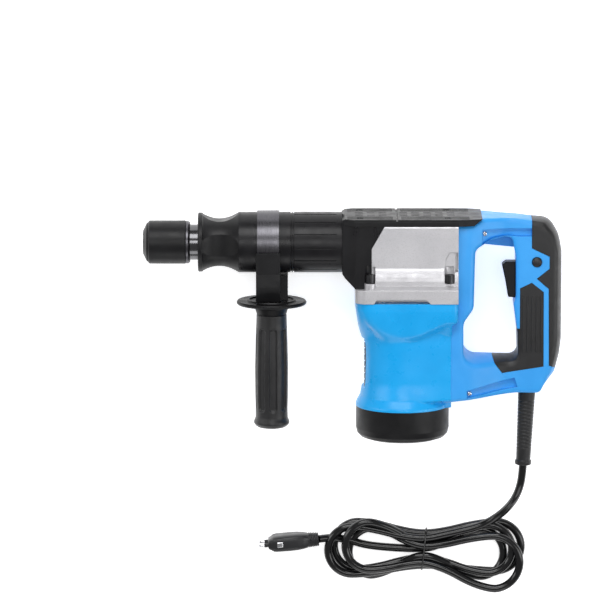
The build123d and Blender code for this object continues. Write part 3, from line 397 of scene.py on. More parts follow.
def roundedOutline(corners):
    # corners are (x, height, radius); each becomes an arc of that radius, or of what its sides leave room for
    mostOfSide, arcStep = 0.48, 0.22
    points = []
    count = len(corners)
    for i, (x, y, radius) in enumerate(corners):
        here = Vector((x, y))
        before = Vector(corners[i - 1][:2]) - here
        after = Vector(corners[(i + 1) % count][:2]) - here
        if radius <= 0:
            points.append(here)
            continue
        halfAngle = before.angle(after) / 2
        reach = min(radius / math.tan(halfAngle), mostOfSide * before.length, mostOfSide * after.length)
        start, end = here + before.normalized() * reach, here + after.normalized() * reach
        radius = reach * math.tan(halfAngle)
        centre = here + (before.normalized() + after.normalized()).normalized() * radius / math.sin(halfAngle)
        steps = max(2, int((math.pi - 2 * halfAngle) / arcStep) + 1)
        fromAngle = math.atan2(start.y - centre.y, start.x - centre.x)
        turn = math.atan2(end.y - centre.y, end.x - centre.x) - fromAngle
        turn = (turn + math.pi) % (2 * math.pi) - math.pi
        for step in range(steps + 1):
            angle = fromAngle + turn * step / steps
            points.append(centre + Vector((math.cos(angle), math.sin(angle))) * radius)
    return points


def roundedPlate(name, outlines, half, edgeRadius, halfAt, cuts, levels, crown):
    # a plate with rounded edges: its outlines are the rim and any openings, its thickness follows halfAt,
    # and crown draws its narrow faces in away from the mid-plane; cuts and levels give it rows to bend at
    curve = bpy.data.curves.new(name, "CURVE")
    curve.dimensions = "2D"
    curve.fill_mode = "BOTH"
    for outline in outlines:
        spline = curve.splines.new("POLY")
        spline.points.add(len(outline) - 1)
        for point, place in zip(spline.points, outline):
            point.co = (place.x * mm, place.y * mm, 0, 1)
        spline.use_cyclic_u = True
    curve.extrude = (half - edgeRadius) * mm
    curve.bevel_depth = edgeRadius * mm
    curve.bevel_resolution = 5
    curve.offset = -edgeRadius * mm
    holder = bpy.data.objects.new(name + "Curve", curve)
    mesh = bpy.data.meshes.new_from_object(holder)
    shape = bmesh.new()
    shape.from_mesh(mesh)
    bmesh.ops.remove_doubles(shape, verts=shape.verts, dist=1e-6)
    for cut in cuts:
        bmesh.ops.bisect_plane(shape, geom=everything(shape), plane_co=(cut * mm, 0, 0), plane_no=(1, 0, 0))
    for level in levels:
        place = (0, 0, level * half * mm)
        bmesh.ops.bisect_plane(shape, geom=everything(shape), plane_co=place, plane_no=(0, 0, 1))
    for vert in shape.verts:
        x, y, z = vert.co / mm
        x, y = crown(x, y, abs(z) / half)
        vert.co = sideToWorld(x, y, z * halfAt(x) / half)
    bmesh.ops.recalc_face_normals(shape, faces=shape.faces)
    shape.to_mesh(mesh)
    shape.free()
    bpy.data.objects.remove(holder)
    return mesh


def prism(name, outline, low, high):
    # straight-sided block between two distances from the mid-plane
    count = len(outline)
    points = [sideToWorld(x, height, across) for across in (low, high) for x, height in outline]
    faces = [tuple(range(count)), tuple(range(count, 2 * count))]
    faces += [(i, (i + 1) % count, (i + 1) % count + count, i + count) for i in range(count)]
    return meshFrom(name, points, faces)


def combine(name, base, other, operation):
    # one closed mesh cut out of another, or what the two share
    first = bpy.data.objects.new(name + "Base", base)
    second = bpy.data.objects.new(name + "Other", other)
    for holder in (first, second):
        bpy.context.scene.collection.objects.link(holder)
    cutter = first.modifiers.new("cut", "BOOLEAN")
    cutter.object = second
    cutter.operation = operation
    cutter.solver = "EXACT"
    bpy.context.view_layer.update()
    result = bpy.data.meshes.new_from_object(first.evaluated_get(bpy.context.evaluated_depsgraph_get()))
    result.name = name
    for holder in (first, second):
        bpy.data.objects.remove(holder)
    return result


def joined(name, *meshes):
    # several closed meshes as one piece
    shape = bmesh.new()
    for mesh in meshes:
        shape.from_mesh(mesh)
    result = bpy.data.meshes.new(name)
    shape.to_mesh(result)
    shape.free()
    return result


# rear handle: one rounded D, parted into its two blue halves, the rubber back and the soft panels
handleSet = {
    # half width at the motor and at the grip, and where the one becomes the other
    "half": 37.0,
    "gripHalf": 21.0,
    "narrowing": (122, 52),
    "edgeRadius": 4.6,
    "rim": [
        (98.0, 23.8, 0), (131.0, 23.8, 8), (142.0, 31.0, 8), (198.3, 28.8, 12), (216.3, 28.0, 22),
        (226.8, 10.0, 30), (230.3, -8.0, 20), (230.3, -106.0, 20), (228.3, -123.0, 20), (223.3, -143.0, 12),
        (212.3, -157.0, 8), (206.0, -165.5, 8), (181.0, -165.0, 8), (98.0, -174.5, 0),
    ],
    "opening": [
        (134.5, -4.0, 9), (150.0, 5.5, 16), (164.0, 9.0, 12), (175.0, 9.0, 8), (179.6, -13.0, 8),
        (179.8, -58.0, 6), (177.4, -66.0, 6), (181.6, -98.0, 14), (182.4, -124.4, 10), (122.2, -124.4, 14),
        (121.7, -85.0, 14), (133.0, -69.0, 12),
    ],
    "rubber": [
        (197.0, 60), (197.0, -3.5), (216.6, -13), (216.6, -26.5), (202.8, -37.5), (215.8, -49),
        (216.6, -134.5), (227.3, -139.5), (260, -139.5), (260, 60),
    ],
    "panel": [
        (184.4, -48.3), (197, -42.2), (210, -52.5), (210.3, -135.5), (165, -142.5), (156.5, -131),
        (153, -121), (153, -104), (172, -104), (172, -93.5), (184.4, -93.5),
    ],
    "seam": 0.25,
    "topRecess": [
        (142.0, 18.6), (196.6, 18.6), (196.6, 9.6), (182, 9.6), (170, 10.6), (154, 8.6), (142.0, 1.5),
    ],
    "footRecess": [(125.6, -160.0), (178.6, -148.0), (182.0, -158.5), (126.0, -168.4)],
    "recessDepth": 4.4,
    "screws": [(144.6, 13.6), (128.6, -164.0)],
    # ribs of the soft panels: first, step and count, then where they start and end
    "ribs": (187.6, 5.0, 5),
    "ribSpan": (-58.0, -118.0),
    "ribHalf": 0.8,
    "ribEnd": 1.5,
    "ribProud": 0.7,
    # rounding across the handle: how far, then where each side starts and over what length it fades in
    "scoop": 7.5,
    "scoopTop": (-98, 16),
    "scoopFoot": (-162, 32),
    "scoopFront": (106, 14),
    "scoopBack": (200, 16),
    "backRound": 6.5,
    "backFrom": (206, 16),
    "topRound": 4.0,
    "topFrom": ((186, 20), (14, 10)),
    "roundPower": 2.4,
    # rows of points to bend at: first, step and count along it, then shares of its half width
    "cuts": (101, 3.5, 23),
    "levels": (-0.72, -0.54, -0.36, -0.18, 0, 0.18, 0.36, 0.54, 0.72),
    "reach": 60.0,  # past everything, for the blocks that part it
}


def handleHalfAt(x):
    # the handle is as wide as the motor at the front and slim at the grip
    slim, wide = handleSet["gripHalf"], handleSet["half"]
    start, length = handleSet["narrowing"]
    return slim + (wide - slim) * (1 - smoothStep((x - start) / length))


def handleCrown(x, y, share):
    # the arm under the fingers, the back of the grip and its top corner are rounded across the handle
    spec = handleSet
    underHand = fadeOut(y, spec["scoopTop"]) * fadeIn(y, spec["scoopFoot"])
    underHand *= fadeIn(x, spec["scoopFront"]) * fadeOut(x, spec["scoopBack"])
    y -= spec["scoop"] * share * share * underHand
    rounding = share ** spec["roundPower"]
    x -= spec["backRound"] * rounding * fadeIn(x, spec["backFrom"])
    along, upwards = spec["topFrom"]
    y -= spec["topRound"] * rounding * fadeIn(x, along) * fadeIn(y, upwards)
    return x, y


def grown(outline, amount):
    # an outline moved outwards by that much, without long spikes at its sharp corners
    leastSpread = 0.3
    points = [Vector(p) for p in outline]
    area = sum(a.x * b.y - b.x * a.y for a, b in zip(points, points[1:] + points[:1]))
    way = 1 if area > 0 else -1
    moved = []
    for i, here in enumerate(points):
        inward = (here - points[i - 1]).normalized()
        outward = (points[(i + 1) % len(points)] - here).normalized()
        normal = Vector((inward.y + outward.y, -inward.x - outward.x)) * way
        moved.append(here + normal.normalized() * amount / max(leastSpread, normal.length / 2))
    return moved


def halfOf(name, mesh, way):
    # what lies on one side of the mid-plane, closed along the seam
    shape = bmesh.new()
    shape.from_mesh(mesh)
    seamZ = midZ + way * 0.5 * handleSet["seam"] * mm
    cut = bmesh.ops.bisect_plane(
        shape,
        geom=everything(shape),
        plane_co=(0, 0, seamZ),
        plane_no=(0, 0, way),
        clear_inner=True,
        dist=1e-7,
    )
    rimEdges = [e for e in cut["geom_cut"] if isinstance(e, bmesh.types.BMEdge)]
    bmesh.ops.triangle_fill(shape, edges=rimEdges, use_dissolve=False)
    bmesh.ops.recalc_face_normals(shape, faces=shape.faces)
    half = bpy.data.meshes.new(name)
    shape.to_mesh(half)
    shape.free()
    return half


def wholeHandle(drop=0.0):
    # the D before it is parted; drop lowers both its sides, for the floors of the recesses
    first, step, count = handleSet["cuts"]
    return roundedPlate(
        "wholeHandle",
        [roundedOutline(handleSet["rim"]), roundedOutline(handleSet["opening"])],
        handleSet["half"],
        handleSet["edgeRadius"],
        lambda x: handleHalfAt(x) - drop,
        [first + step * i for i in range(count)],
        handleSet["levels"],
        handleCrown,
    )


buttonSet = {
    "at": (202.6, -19.0),
    "base": 15.0,  # its inner end, out from the mid-plane
    "profile": [(0, 5.3), (6.7, 5.3), (7.4, 5.0), (7.9, 4.3), (8.2, 3.2), (8.35, 1.8), (8.4, 0.2)],
    "hole": (5.75, 11.6),  # radius, and how far out its floor is
}


def holeOutline(middle, radius):
    x, height = middle
    return [(x + radius * math.cos(turn), height + radius * math.sin(turn)) for turn in turnsOf(48)]


def handleBlock(outline):
    # a block of that outline, wider than the handle
    return prism("block", outline, -handleSet["reach"], handleSet["reach"])


def makeHandleHalves():
    # the blue D without its rubber, with two long recesses and a hole for the button, parted at the seam
    spec = handleSet
    blue = wholeHandle()
    for soft in ("rubber", "panel"):
        blue = combine("blueHandle", blue, handleBlock(grown(spec[soft], spec["seam"])), "DIFFERENCE")
    floors = []
    for recess in ("topRecess", "footRecess"):
        blue = combine("blueHandle", blue, handleBlock(spec[recess]), "DIFFERENCE")
        lowered = wholeHandle(spec["recessDepth"])
        floors.append(combine("floor", lowered, handleBlock(spec[recess]), "INTERSECT"))
    holeRadius, holeFloor = buttonSet["hole"]
    hole = prism("buttonHole", holeOutline(buttonSet["at"], holeRadius), holeFloor, spec["reach"])
    blue = joined("blueWhole", combine("blueHandle", blue, hole, "DIFFERENCE"), *floors)
    for name, node, way in (("leftHandleHalf", "handle_left", 1), ("rightHandleHalf", "handle_right", -1)):
        half = halfOf(name, blue, way)
        smoothShade(half)
        finishPiece(name, half, "blue_plastic", "housing", (node,), "handle_blue")


def makeRearGrip():
    rubber = combine("rearGripMesh", wholeHandle(), handleBlock(handleSet["rubber"]), "INTERSECT")
    smoothShade(rubber)
    finishPiece("rearGripSkin", rubber, "black_rubber", "housing", ("rear_grip",))


def makeGripPanels():
    # soft panels let into both sides, with pointed ribs down them
    spec = handleSet
    panel = combine("gripInlayMesh", wholeHandle(), handleBlock(spec["panel"]), "INTERSECT")
    firstRib, ribStep, ribCount = spec["ribs"]
    top, foot = spec["ribSpan"]
    half, end = spec["ribHalf"], spec["ribEnd"]
    proud = spec["gripHalf"] + spec["ribProud"]
    ribs = []
    for rib in range(ribCount):
        x = firstRib + ribStep * rib
        front, back = x - half, x + half
        outline = [(front, top), (x, top + end), (back, top), (back, foot), (x, foot - end), (front, foot)]
        ribs.append(prism("rib", outline, -proud, proud))
    panel = joined("gripInlayRibbed", panel, *ribs)
    smoothShade(panel)
    finishPiece("gripPanels", panel, "black_rubber", "housing", ("grip_inlays",))


makeHandleHalves()
makeRearGrip()
makeGripPanels()
print("rear handle")


# motor housing: square under the gear housing, drawn in over a curved shoulder to a round waist
motorSet = {
    "top": -60.5,
    "foot": -182.0,
    "topHalf": 52.0,
    "leastHalf": 20,
    "rings": 96,
    "around": 192,
    # round part: waist, then what it swells by, from which height and over what length
    "waist": 42.8,
    "swell": (0.7, -120, 30.0),
    "flare": (3.2, -150.0, 24.0),
    "rimRadius": 51.4,
    "rimFrom": (-170, 9.0),
    # square part: on the way down its corners soften and its faces lean in, faster below the shoulder's curve
    "corner": (16, 0.2),
    "rearCorner": 5.0,
    "lean": 0.02,
    "lowerLean": (9.0, 0.13),
    "mostLean": 7.0,
    "pastShoulder": 0.75,
    "shoulderLow": -99.0,
    "shoulderRise": 0.0082,
    # how gently the square part runs into the cylinder, from the front round to the handle
    "lineSoft": [(-1.0, 7.0), (-0.5, 6.0), (0.0, 3.0), (0.35, 1.4), (1.0, 1.0)],
    "ventHalf": 15.0,
    "ventSpan": (-160.0, -106.0),
    "ventDepth": 4.8,
    # block that meets the handle: how far back and out, how far back at the top, where that ends
    "rearBlock": (53.6, 37.5),
    "rearReach": 60.0,
    "rearEnds": (20, 6),
    "flankEnds": (-170.0, 8.0),
}


def waistRadius(height):
    # straight waist, then the flared cone and the upright rim
    spec = motorSet
    radius = spec["waist"]
    for amount, start, length in (spec["swell"], spec["flare"]):
        radius += amount * fadeOut(height, (start, length))
    rimTop, rimLength = spec["rimFrom"]
    if height < rimTop:
        radius += (spec["rimRadius"] - radius) * min(1.0, (rimTop - height) / rimLength)
    return radius


def boxReach(cosine, sine, halfX, halfZ, corner):
    # distance from the middle to a rounded rectangle's edge in that direction
    flat = min(halfX / max(abs(cosine), 1e-6), halfZ / max(abs(sine), 1e-6))
    x, z = flat * abs(cosine), flat * abs(sine)
    if x <= halfX - corner or z <= halfZ - corner:
        return flat
    cx, cz = halfX - corner, halfZ - corner
    along = abs(cosine) * cx + abs(sine) * cz
    return along + math.sqrt(max(0.0, along * along - cx * cx - cz * cz + corner * corner))


def largerSoftly(first, second, softness):
    # the larger of the two, with a soft change from one to the other
    gap = first - second
    return (first + second + math.sqrt(gap * gap + softness * softness)) / 2


def squareReach(cosine, sine, height, softness):
    # the square part, drawn in past the shoulder's curve, and run back to the handle behind
    spec = motorSet
    drop = spec["top"] - height
    corner = spec["corner"][0] + spec["corner"][1] * drop
    square = boxReach(cosine, sine, spec["topHalf"], spec["topHalf"], corner)
    side = min(abs(square * cosine), abs(square * sine))
    line = spec["shoulderLow"] + spec["shoulderRise"] * side * side
    lowerFrom, lowerSlope = spec["lowerLean"]
    lean = spec["lean"] * drop + lowerSlope * max(0.0, drop - lowerFrom)
    past = largerSoftly(line - height, 0.0, softness)
    half = spec["topHalf"] - min(lean, spec["mostLean"]) - spec["pastShoulder"] * past
    half = max(half, spec["leastHalf"])
    if cosine <= 0:
        return boxReach(cosine, sine, half, half, corner)
    block = spec["rearBlock"][0]
    rear = block + (spec["rearReach"] - block) * (1 - fadeIn(drop, spec["rearEnds"]))
    return boxReach(cosine, sine, rear, half, spec["rearCorner"])


def flankReach(cosine, sine, height, radius):
    # flanks that leave the cylinder at a tangent and end at the seam with the handle
    spec = motorSet
    cornerX, cornerZ = spec["rearBlock"]
    ending = fadeOut(height, spec["flankEnds"])
    cornerX += (spec["rimRadius"] - cornerX) * ending
    cornerZ *= 1 - ending
    corner, cornerTurn = math.hypot(cornerX, cornerZ), math.atan2(cornerZ, cornerX)
    tangent = cornerTurn + math.acos(min(1.0, radius / corner))
    turn = abs(math.atan2(sine, cosine))
    if turn < cornerTurn:
        return cornerX / cosine
    return radius / math.cos(turn - tangent) if turn < tangent else 0.0


def motorReach(angle, height):
    spec = motorSet
    cosine, sine = math.cos(angle), math.sin(angle)
    radius = waistRadius(height)
    softness = between(spec["lineSoft"], cosine)
    reach = largerSoftly(radius, squareReach(cosine, sine, height, softness), softness)
    if cosine > 0:
        return max(reach, flankReach(cosine, sine, height, radius))
    # flat-bottomed pocket for the louvres in front
    low, high = spec["ventSpan"]
    if cosine < 0 and abs(sine * reach) < spec["ventHalf"] and low < height < high:
        reach = min(reach, (spec["waist"] - spec["ventDepth"]) / max(abs(cosine), 0.5))
    return reach


def makeMotorHousing():
    spec = motorSet
    rings = []
    for ring in range(spec["rings"] + 1):
        height = spec["top"] + (spec["foot"] - spec["top"]) * ring / spec["rings"]
        row = []
        for angle in turnsOf(spec["around"]):
            reach = motorReach(angle, height) * mm
            x, z = motorX + reach * math.cos(angle), midZ + reach * math.sin(angle)
            row.append((x, barrelY + height * mm, z))
        rings.append(row)
    mesh = skinOver("motorHousing", rings)
    smoothShade(mesh, 40)
    finishPiece("motorShell", mesh, "blue_plastic", "housing", ("motor_housing",))


makeMotorHousing()
print("motor housing")


# pieces turned about a line of their own
def turnedMesh(name, origin, along, across, stations, around, reach):
    # a closed skin round a line: reach gives the distance from it at a station and an angle, in millimetres
    along, across = Vector(along).normalized(), Vector(across).normalized()
    beside = along.cross(across)
    rings = []
    for station in stations:
        row = []
        for angle in turnsOf(around):
            out = reach(station, angle)
            place = along * station + across * out * math.cos(angle) + beside * out * math.sin(angle)
            row.append(Vector(origin) + place * mm)
        rings.append(row)
    return skinOver(name, rings)


def stationsOf(profile, *more):
    # where a skin gets its rings: at every point of its profile, and evenly along the given stretches
    stations = {point[0] for point in profile}
    for stretch in more:
        stations.update(spaced(*stretch))
    return sorted(stations)


def spaced(start, end, step):
    count = max(1, round((end - start) / step))
    return [start + (end - start) * i / count for i in range(count + 1)]


gripSet = {
    "rowsFrom": (90, 196, 0.9),
    # distance out from the barrel's axis, radius
    "profile": [
        (80.1, 15.6), (80.9, 16.6), (90, 16.9), (110, 17.7), (140, 18.4), (172, 18.2), (190, 17.7),
        (196, 17.9), (198.6, 18.9), (200.4, 19.6), (202.6, 19.6), (203.6, 18.8), (205.2, 17.6),
        (206.8, 15.2), (207.8, 11.0), (208.0, 4.0),
    ],
    "flutes": 8,
    "fluteTurn": math.radians(-6),
    "fluteHalf": 4.3,
    "fluteDepth": 2.1,
    "fluteFill": 1.6,  # above 1, its floor is flatter than a half round
    "fluteRunOut": 2.0,
    "fluteSpan": (95.0, 188.5),
}


def gripReach(station, angle):
    spec = gripSet
    radius = between(spec["profile"], station)
    pitch = 2 * math.pi / spec["flutes"]
    off = (angle - spec["fluteTurn"] + pitch / 2) % pitch - pitch / 2
    first, last = spec["fluteSpan"]
    if not first < station < last:
        return radius
    # rounded ends: the flute narrows over its last few millimetres
    nearEnd = min(station - first, last - station, spec["fluteHalf"])
    halfWidth = math.sqrt(max(0.0, spec["fluteHalf"] ** 2 - (spec["fluteHalf"] - nearEnd) ** 2))
    share = abs(off * radius) / max(halfWidth, 0.01)
    if share >= 1:
        return radius
    hollow = min(1.0, spec["fluteFill"] * math.sqrt(1 - share * share))
    return radius - spec["fluteDepth"] * hollow * min(1.0, nearEnd / spec["fluteRunOut"])


def makeSideGrip():
    stations = stationsOf(gripSet["profile"], gripSet["rowsFrom"])
    origin = (middleOf("hand_guard").x, barrelY, midZ)
    mesh = turnedMesh("sideGripMesh", origin, (0, -1, 0), (0, 0, 1), stations, 256, gripReach)
    smoothShade(mesh, 38)
    finishPiece("sideGripSkin", mesh, "black_rubber", "grip", ("side_grip",))


guardSet = {
    # where it leaves the handle, how much it leans forward on the way down, distance along it and radius
    "origin": (193.2, -165.5),
    "lean": 0.0434,
    "rowsFrom": (4, 78.4, 0.5),
    "profile": [
        (-6, 9.4), (4, 9.4), (78.4, 7.9), (79.6, 9.0), (82.6, 9.2), (84.0, 8.6), (84.4, 7.6), (84.41, 4.6),
    ],
    # fine rings: first, last and pitch, then depth and half width
    "rings": (10.0, 66.0, 4.0),
    "ring": (0.45, 0.7),
}


def ringDip(station, spec):
    # how deep a pressed ring is there
    start, end, pitch = spec["rings"]
    depth, halfWidth = spec["ring"]
    if not start < station < end:
        return 0.0
    return depth * (1 - smoothStep(abs((station - start) % pitch - pitch / 2) / halfWidth))


def guardReach(station, angle):
    # a smooth tapered sleeve with fine rings pressed into it
    return between(guardSet["profile"], station) - ringDip(station, guardSet)


def makeCordGuard():
    spec = guardSet
    stations = stationsOf(spec["profile"], spec["rowsFrom"])
    origin = sideToWorld(*spec["origin"], 0)
    mesh = turnedMesh("cordGuardMesh", origin, (-spec["lean"], -1, 0), (0, 0, 1), stations, 96, guardReach)
    smoothShade(mesh, 38)
    finishPiece("cordGuardSleeve", mesh, "black_rubber", "housing", ("cord_guard",))


plugSet = {
    "back": (-36.7, -250.5, 15.0),
    "lean": math.radians(5),
    # station from the back, half width, half height
    "body": [
        (0, 6.6, 6.9), (0.8, 7.5, 7.75), (10.6, 8.2, 8.7), (11.4, 7.6, 8.6), (13, 7.8, 9.2), (17, 8.6, 11.2),
        (24, 9.2, 13.4), (32, 9.4, 14.2), (47, 9.1, 14.7), (50.5, 8.7, 14.5), (55.6, 5.4, 13.4),
        (56.5, 4.5, 12.6),
    ],
    "rowsFrom": (0.8, 10.6, 0.2),
    "moreRowsFrom": (13, 50.5, 2.2),
    "rings": (1.2, 10.4, 1.84),
    "ring": (0.75, 0.5),
    # how square the section is, on the ringed neck and on the body, and where it changes
    "squareness": (2.6, 4.0, 12),
    "pinsAt": 56.4,
    "pinGap": 9.5,
    "pinRows": [4.4, 8.6, 9.4, 10.2, 10.8, 11],
    "pin": [(0, 2.0), (8.6, 2.0), (10.2, 1.6), (10.8, 0.9), (11, 0.2)],
    "rootRows": [-1, 0, 4.2, 4.6],
    # from, to, half width; then the heights of its foot and its rim, and how its top is dished
    "contact": (40.0, 46.5, 2.9),
    "contactHeights": (12.0, 15.0),
    "contactTop": (0.16, 0.35),
}


def plugReach(station, angle):
    # squarish section with soft corners, ringed where the cord enters
    spec = plugSet
    dip = ringDip(station, spec)
    wide = between([(s, w) for s, w, _ in spec["body"]], station) - dip
    tall = between([(s, t) for s, _, t in spec["body"]], station) - dip
    neck, body, change = spec["squareness"]
    power = body if station > change else neck
    return (abs(math.cos(angle) / tall) ** power + abs(math.sin(angle) / wide) ** power) ** (-1 / power)


def pinReach(station, angle):
    return between(plugSet["pin"], station)


def rootReach(station, angle):
    # the insulated foot of a pin
    return 2.35 if station < 4.4 else 2.1


def earthContact(origin, along):
    # let into the upper side
    spec = plugSet
    beside = along.cross(Vector((0, 0, 1)))
    near, far, halfWide = spec["contact"]
    plan = ((near, -halfWide), (far, -halfWide), (far, halfWide), (near, halfWide))
    corners = [origin + along * s * mm + beside * w * mm for s, w in plan]
    low, high = (height * mm for height in spec["contactHeights"])
    inset, rise = spec["contactTop"]
    points = [c + Vector((0, 0, h)) for h in (low, high) for c in corners]
    middle = sum(corners, Vector()) / 4
    points += [c + (middle - c) * inset + Vector((0, 0, high + rise * mm)) for c in corners]
    faces = [(0, 1, 2, 3)] + [(i, (i + 1) % 4, (i + 1) % 4 + 4, i + 4) for i in range(4)]
    faces += [(i + 4, (i + 1) % 4 + 4, (i + 1) % 4 + 8, i + 8) for i in range(4)] + [(8, 9, 10, 11)]
    return meshFrom("contact", points, faces)


def makePlug():
    spec = plugSet
    along = Vector((-math.cos(spec["lean"]), -math.sin(spec["lean"]), 0))
    upwards = Vector((0, 0, 1))
    origin = Vector(spec["back"]) * mm
    stations = stationsOf(spec["body"], spec["rowsFrom"], spec["moreRowsFrom"])
    body = turnedMesh("plugMesh", origin, along, upwards, stations, 128, plugReach)
    smoothShade(body, 28)
    plug = finishPiece("plugBody", body, "plug_plastic", "housing", ("plug_body",))
    pins, roots = [], []
    for way in (-1, 1):
        foot = origin + along * spec["pinsAt"] * mm + upwards * way * spec["pinGap"] * mm
        pins.append(turnedMesh("pin", foot, along, upwards, spec["pinRows"], 40, pinReach))
        roots.append(turnedMesh("root", foot, along, upwards, spec["rootRows"], 40, rootReach))
    metal = joined("plugMetalMesh", earthContact(origin, along), *pins)
    smoothShade(metal)
    pinPiece = finishPiece("plugPins", metal, "plug_metal", "housing", ("plug_pins",))
    sleeves = joined("pinRootMesh", *roots)
    smoothShade(sleeves)
    rootPiece = finishPiece("pinRoots", sleeves, "plug_plastic", "housing")
    return [plug, pinPiece, rootPiece]


def roundRings(origin, profile, way, around):
    # round rows standing out of the tool's side; way is 1 for its left side, -1 for its right
    rings = []
    for height, radius in profile:
        row = []
        for angle in turnsOf(around):
            place = Vector((radius * math.cos(angle), radius * math.sin(angle), way * height))
            row.append(Vector(origin) + place * mm)
        rings.append(row)
    return rings


def makeLockButton():
    spec = buttonSet
    origin = sideToWorld(*spec["at"], spec["base"])
    rings = roundRings(origin, spec["profile"], 1, 64)
    mesh = skinOver("lockMesh", rings)
    smoothShade(mesh, 50)
    finishPiece("lockButtonCap", mesh, "grey_plastic", "lock_button", ("lock_button",), "plug_plastic")


# height, radius, over the dome and down into the driver's hole
screwSet = {"profile": [(-3, 2.7), (0.3, 2.7), (0.9, 2.4), (1.25, 1.5), (1.3, 1.1), (0.7, 0.95), (0.3, 0.9)]}


def makeHandleScrews():
    # pan heads in the two long recesses, on both sides
    heads = []
    for x, height in handleSet["screws"]:
        for way in (-1, 1):
            out = handleHalfAt(x) - handleSet["recessDepth"]
            rings = roundRings(sideToWorld(x, height, way * out), screwSet["profile"], way, 48)
            heads.append(skinOver("head", rings))
    mesh = joined("screwHeadMesh", *heads)
    smoothShade(mesh, 30)
    finishPiece("handleScrewHeads", mesh, "black_screws", "housing", (), "bearing_steel")


makeSideGrip()
makeCordGuard()
plugPieces = makePlug()
makeLockButton()
makeHandleScrews()
print("grip, guard, plug, button, screws")


# mains cord: out of the guard, down to the surface, four turns of a hank, and into the plug
cordSet = {
    "diameter": 8.9 * mm,
    "leadRoute": [
        (189.54, -157.32, 53.0),
        (188.6, -172.0, 53.0),
        (185.6, -186.5, 49.0),
        (181.0, -199.0, 41.3),
        (174.6, -210.8, 29.0),
        (165.8, -221.6, 19.0),
        (154.0, -231.0, 13.6),
        (139.0, -238.0, 12.8),
    ],
    "tieAt": 81.0,
    "tieMiddle": -264.5,
    # each pass under the tie: across from the middle, height; from the top side then from the bottom side
    "topPasses": [(13.2, 11.6), (17.6, 4.5), (8.8, 4.5), (4.4, 11.6), (0.0, 4.5)],
    "bottomPasses": [(-17.6, 4.5), (-8.8, 4.5), (-13.2, 11.6), (-4.4, 11.6)],
    # end loops: outermost point, middle across, radius, height
    "leftLoops": [
        (-26.4, -263.8, 27.4, 13.2),
        (-19.5, -260.0, 27.4, 4.6),
        (-7.0, -257.0, 27.4, 20.6),
        (-3.0, -267.0, 27.4, 4.6),
    ],
    "rightLoops": [
        (190.0, -261.0, 28.2, 4.5),
        (179.7, -262.3, 27.8, 12.8),
        (188.2, -276.5, 30.5, 18.5),
        (170.3, -268.5, 27.4, 4.6),
    ],
    "tail": [(20.0, -261.0, 4.5), (-4.0, -253.0, 5.5), (-24.0, -249.7, 9.2), (-36.7, -250.5, 15.0)],
    "stepsPerLoop": 9,
    "crossingShares": (0.35, 0.68),
}


def loopPoints(loop, side):
    # half a turn round one end loop; side is -1 for the left end, 1 for the right
    outermost, across, radius, height = loop
    count = cordSet["stepsPerLoop"]
    swell = 1 / math.cos(math.pi / 2 / count)  # the line runs inside its points
    centre = outermost - side * radius
    points = []
    for step in range(count):
        angle = math.pi * (step / (count - 1) - 0.5) * side
        reach = radius * swell * math.cos(angle)
        points.append((centre + side * reach, across + radius * swell * math.sin(angle), height))
    return points


def crossing(start, end, shares=cordSet["crossingShares"]):
    # the easy bend between a loop and the tie
    points = []
    for share in shares:
        eased = smoothStep(share)
        points.append((
            start[0] + (end[0] - start[0]) * share,
            start[1] + (end[1] - start[1]) * eased,
            start[2] + (end[2] - start[2]) * eased,
        ))
    return points


def hankPoints():
    tieX, tieY = cordSet["tieAt"], cordSet["tieMiddle"]
    points = list(cordSet["leadRoute"])
    for turn, (left, right) in enumerate(zip(cordSet["leftLoops"], cordSet["rightLoops"])):
        topPass, bottomPass = cordSet["topPasses"][turn], cordSet["bottomPasses"][turn]
        nextTop = cordSet["topPasses"][turn + 1]
        top = (tieX, tieY + topPass[0], topPass[1])
        bottom = (tieX, tieY + bottomPass[0], bottomPass[1])
        last = (tieX, tieY + nextTop[0], nextTop[1])
        # the left end runs from the top side down, the right end back up
        leftEnd = loopPoints(left, -1)
        rightEnd = loopPoints(right, 1)
        if turn == 0:
            points += crossing(points[-1], top, (0.5,))
            points.append(top)
        points += crossing(top, leftEnd[0]) + leftEnd + crossing(leftEnd[-1], bottom)
        points.append(bottom)
        points += crossing(bottom, rightEnd[0]) + rightEnd + crossing(rightEnd[-1], last)
        points.append(last)
    return points + cordSet["tail"]


def makeCord():
    route = [(x * mm, y * mm, z * mm) for x, y, z in hankPoints()]
    curve = bpy.data.curves.new("mainsCord", "CURVE")
    curve.dimensions = "3D"
    spline = curve.splines.new("NURBS")
    spline.points.add(len(route) - 1)
    for point, place in zip(spline.points, route):
        point.co = (*place, 1)
    spline.order_u = 3
    spline.use_endpoint_u = True
    spline.resolution_u = 10
    curve.bevel_depth = cordSet["diameter"] / 2
    curve.bevel_resolution = 6
    cord = finishPiece("mainsCord", curve, "cord_rubber", "housing", ("cord_lead", "cord_hank", "cord_tail"))
    return cord, route


def splineLength(curve):
    # measured along its middle line
    bare = bpy.data.objects.new("bareLine", curve.data.copy())
    bare.data.bevel_depth = 0
    line = bpy.data.meshes.new_from_object(bare)
    bpy.data.objects.remove(bare)
    ends = [[line.vertices[i].co for i in edge.vertices] for edge in line.edges]
    return sum((start - end).length for start, end in ends)


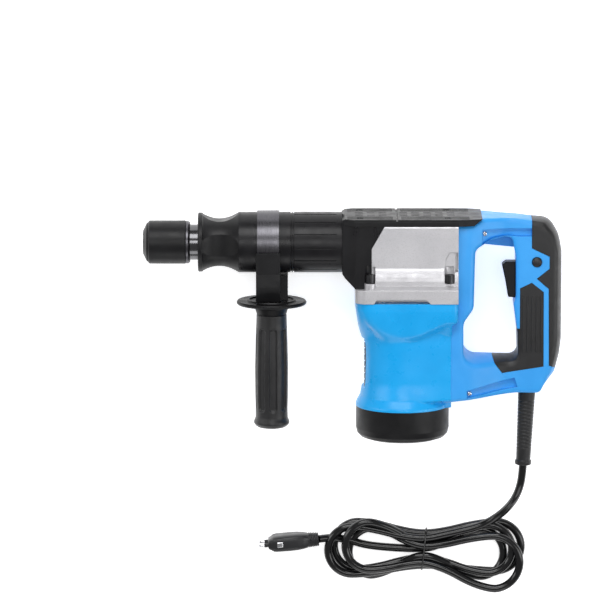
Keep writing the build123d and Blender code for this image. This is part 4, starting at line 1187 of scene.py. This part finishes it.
tieSet = {
    # across from the tie's middle and height, going round the waist
    "loop": [
        (-22.6, 1.2), (-22.7, 8.0), (-20.0, 15.4), (-10.0, 17.6), (0.0, 18.2), (10.0, 17.6), (20.0, 15.4),
        (22.7, 8.0),
        (22.6, 1.2), (10.0, 1.0), (-10.0, 1.0),
    ],
    "slant": 0.10,
    "wire": 0.85,
    "tails": [[(20.5, 15.2), (24.0, 17.0), (27.0, 15.0)], [(20.5, 15.2), (23.0, 18.4), (24.4, 20.4)]],
}


def makeTie():
    # plastic-covered wire round the waist of the hank, its ends twisted off
    spec = tieSet
    curve = bpy.data.curves.new("tieCurve", "CURVE")
    curve.dimensions = "3D"
    for points in [spec["loop"]] + spec["tails"]:
        spline = curve.splines.new("NURBS")
        spline.points.add(len(points) - 1)
        for point, (across, height) in zip(spline.points, points):
            x = cordSet["tieAt"] + spec["slant"] * across
            point.co = (x * mm, (cordSet["tieMiddle"] + across) * mm, height * mm, 1)
        spline.order_u = 3
        spline.use_cyclic_u = points is spec["loop"]
        spline.use_endpoint_u = not spline.use_cyclic_u
        spline.resolution_u = 8
    curve.bevel_depth = spec["wire"] * mm
    curve.bevel_resolution = 4
    curve.use_fill_caps = True
    holder = bpy.data.objects.new("tieHolder", curve)
    mesh = bpy.data.meshes.new_from_object(holder)
    bpy.data.objects.remove(holder)
    mesh.materials.clear()
    smoothShade(mesh)
    finishPiece("hankWireTie", mesh, "tie_plastic", "housing", ("hank_tie",))


makeTie()
cord, cordRoute = makeCord()
cordLength = splineLength(cord)
print("cord length", round(cordLength, 3))


# the lit white table top that the tool lies on
floorSet = {
    "halfSize": 6,
    "drop": 0.2 * mm,
    "white": (0.93, 0.93, 0.935),
    "shade": (0.90, 0.90, 0.905),
    "glow": 0.6,
}


def makeFloor():
    spec = floorSet
    floorMesh = bpy.data.meshes.new("floor")
    shape = bmesh.new()
    bmesh.ops.create_grid(shape, x_segments=2, y_segments=2, size=spec["halfSize"])
    shape.to_mesh(floorMesh)
    shape.free()
    floor = bpy.data.objects.new("floor", floorMesh)
    floor.location.z = -spec["drop"]
    finish = Finish("floorPaper", spec["white"], 0.6)
    finish.tint(finish.noise(0.4, 3), spec["shade"])
    finish.set(Emission_Color=(1, 1, 1, 1), Emission_Strength=spec["glow"])
    floorMesh.materials.append(finish.material)
    bpy.context.scene.collection.objects.link(floor)


makeCamera()
makeLights()
makeFloor()
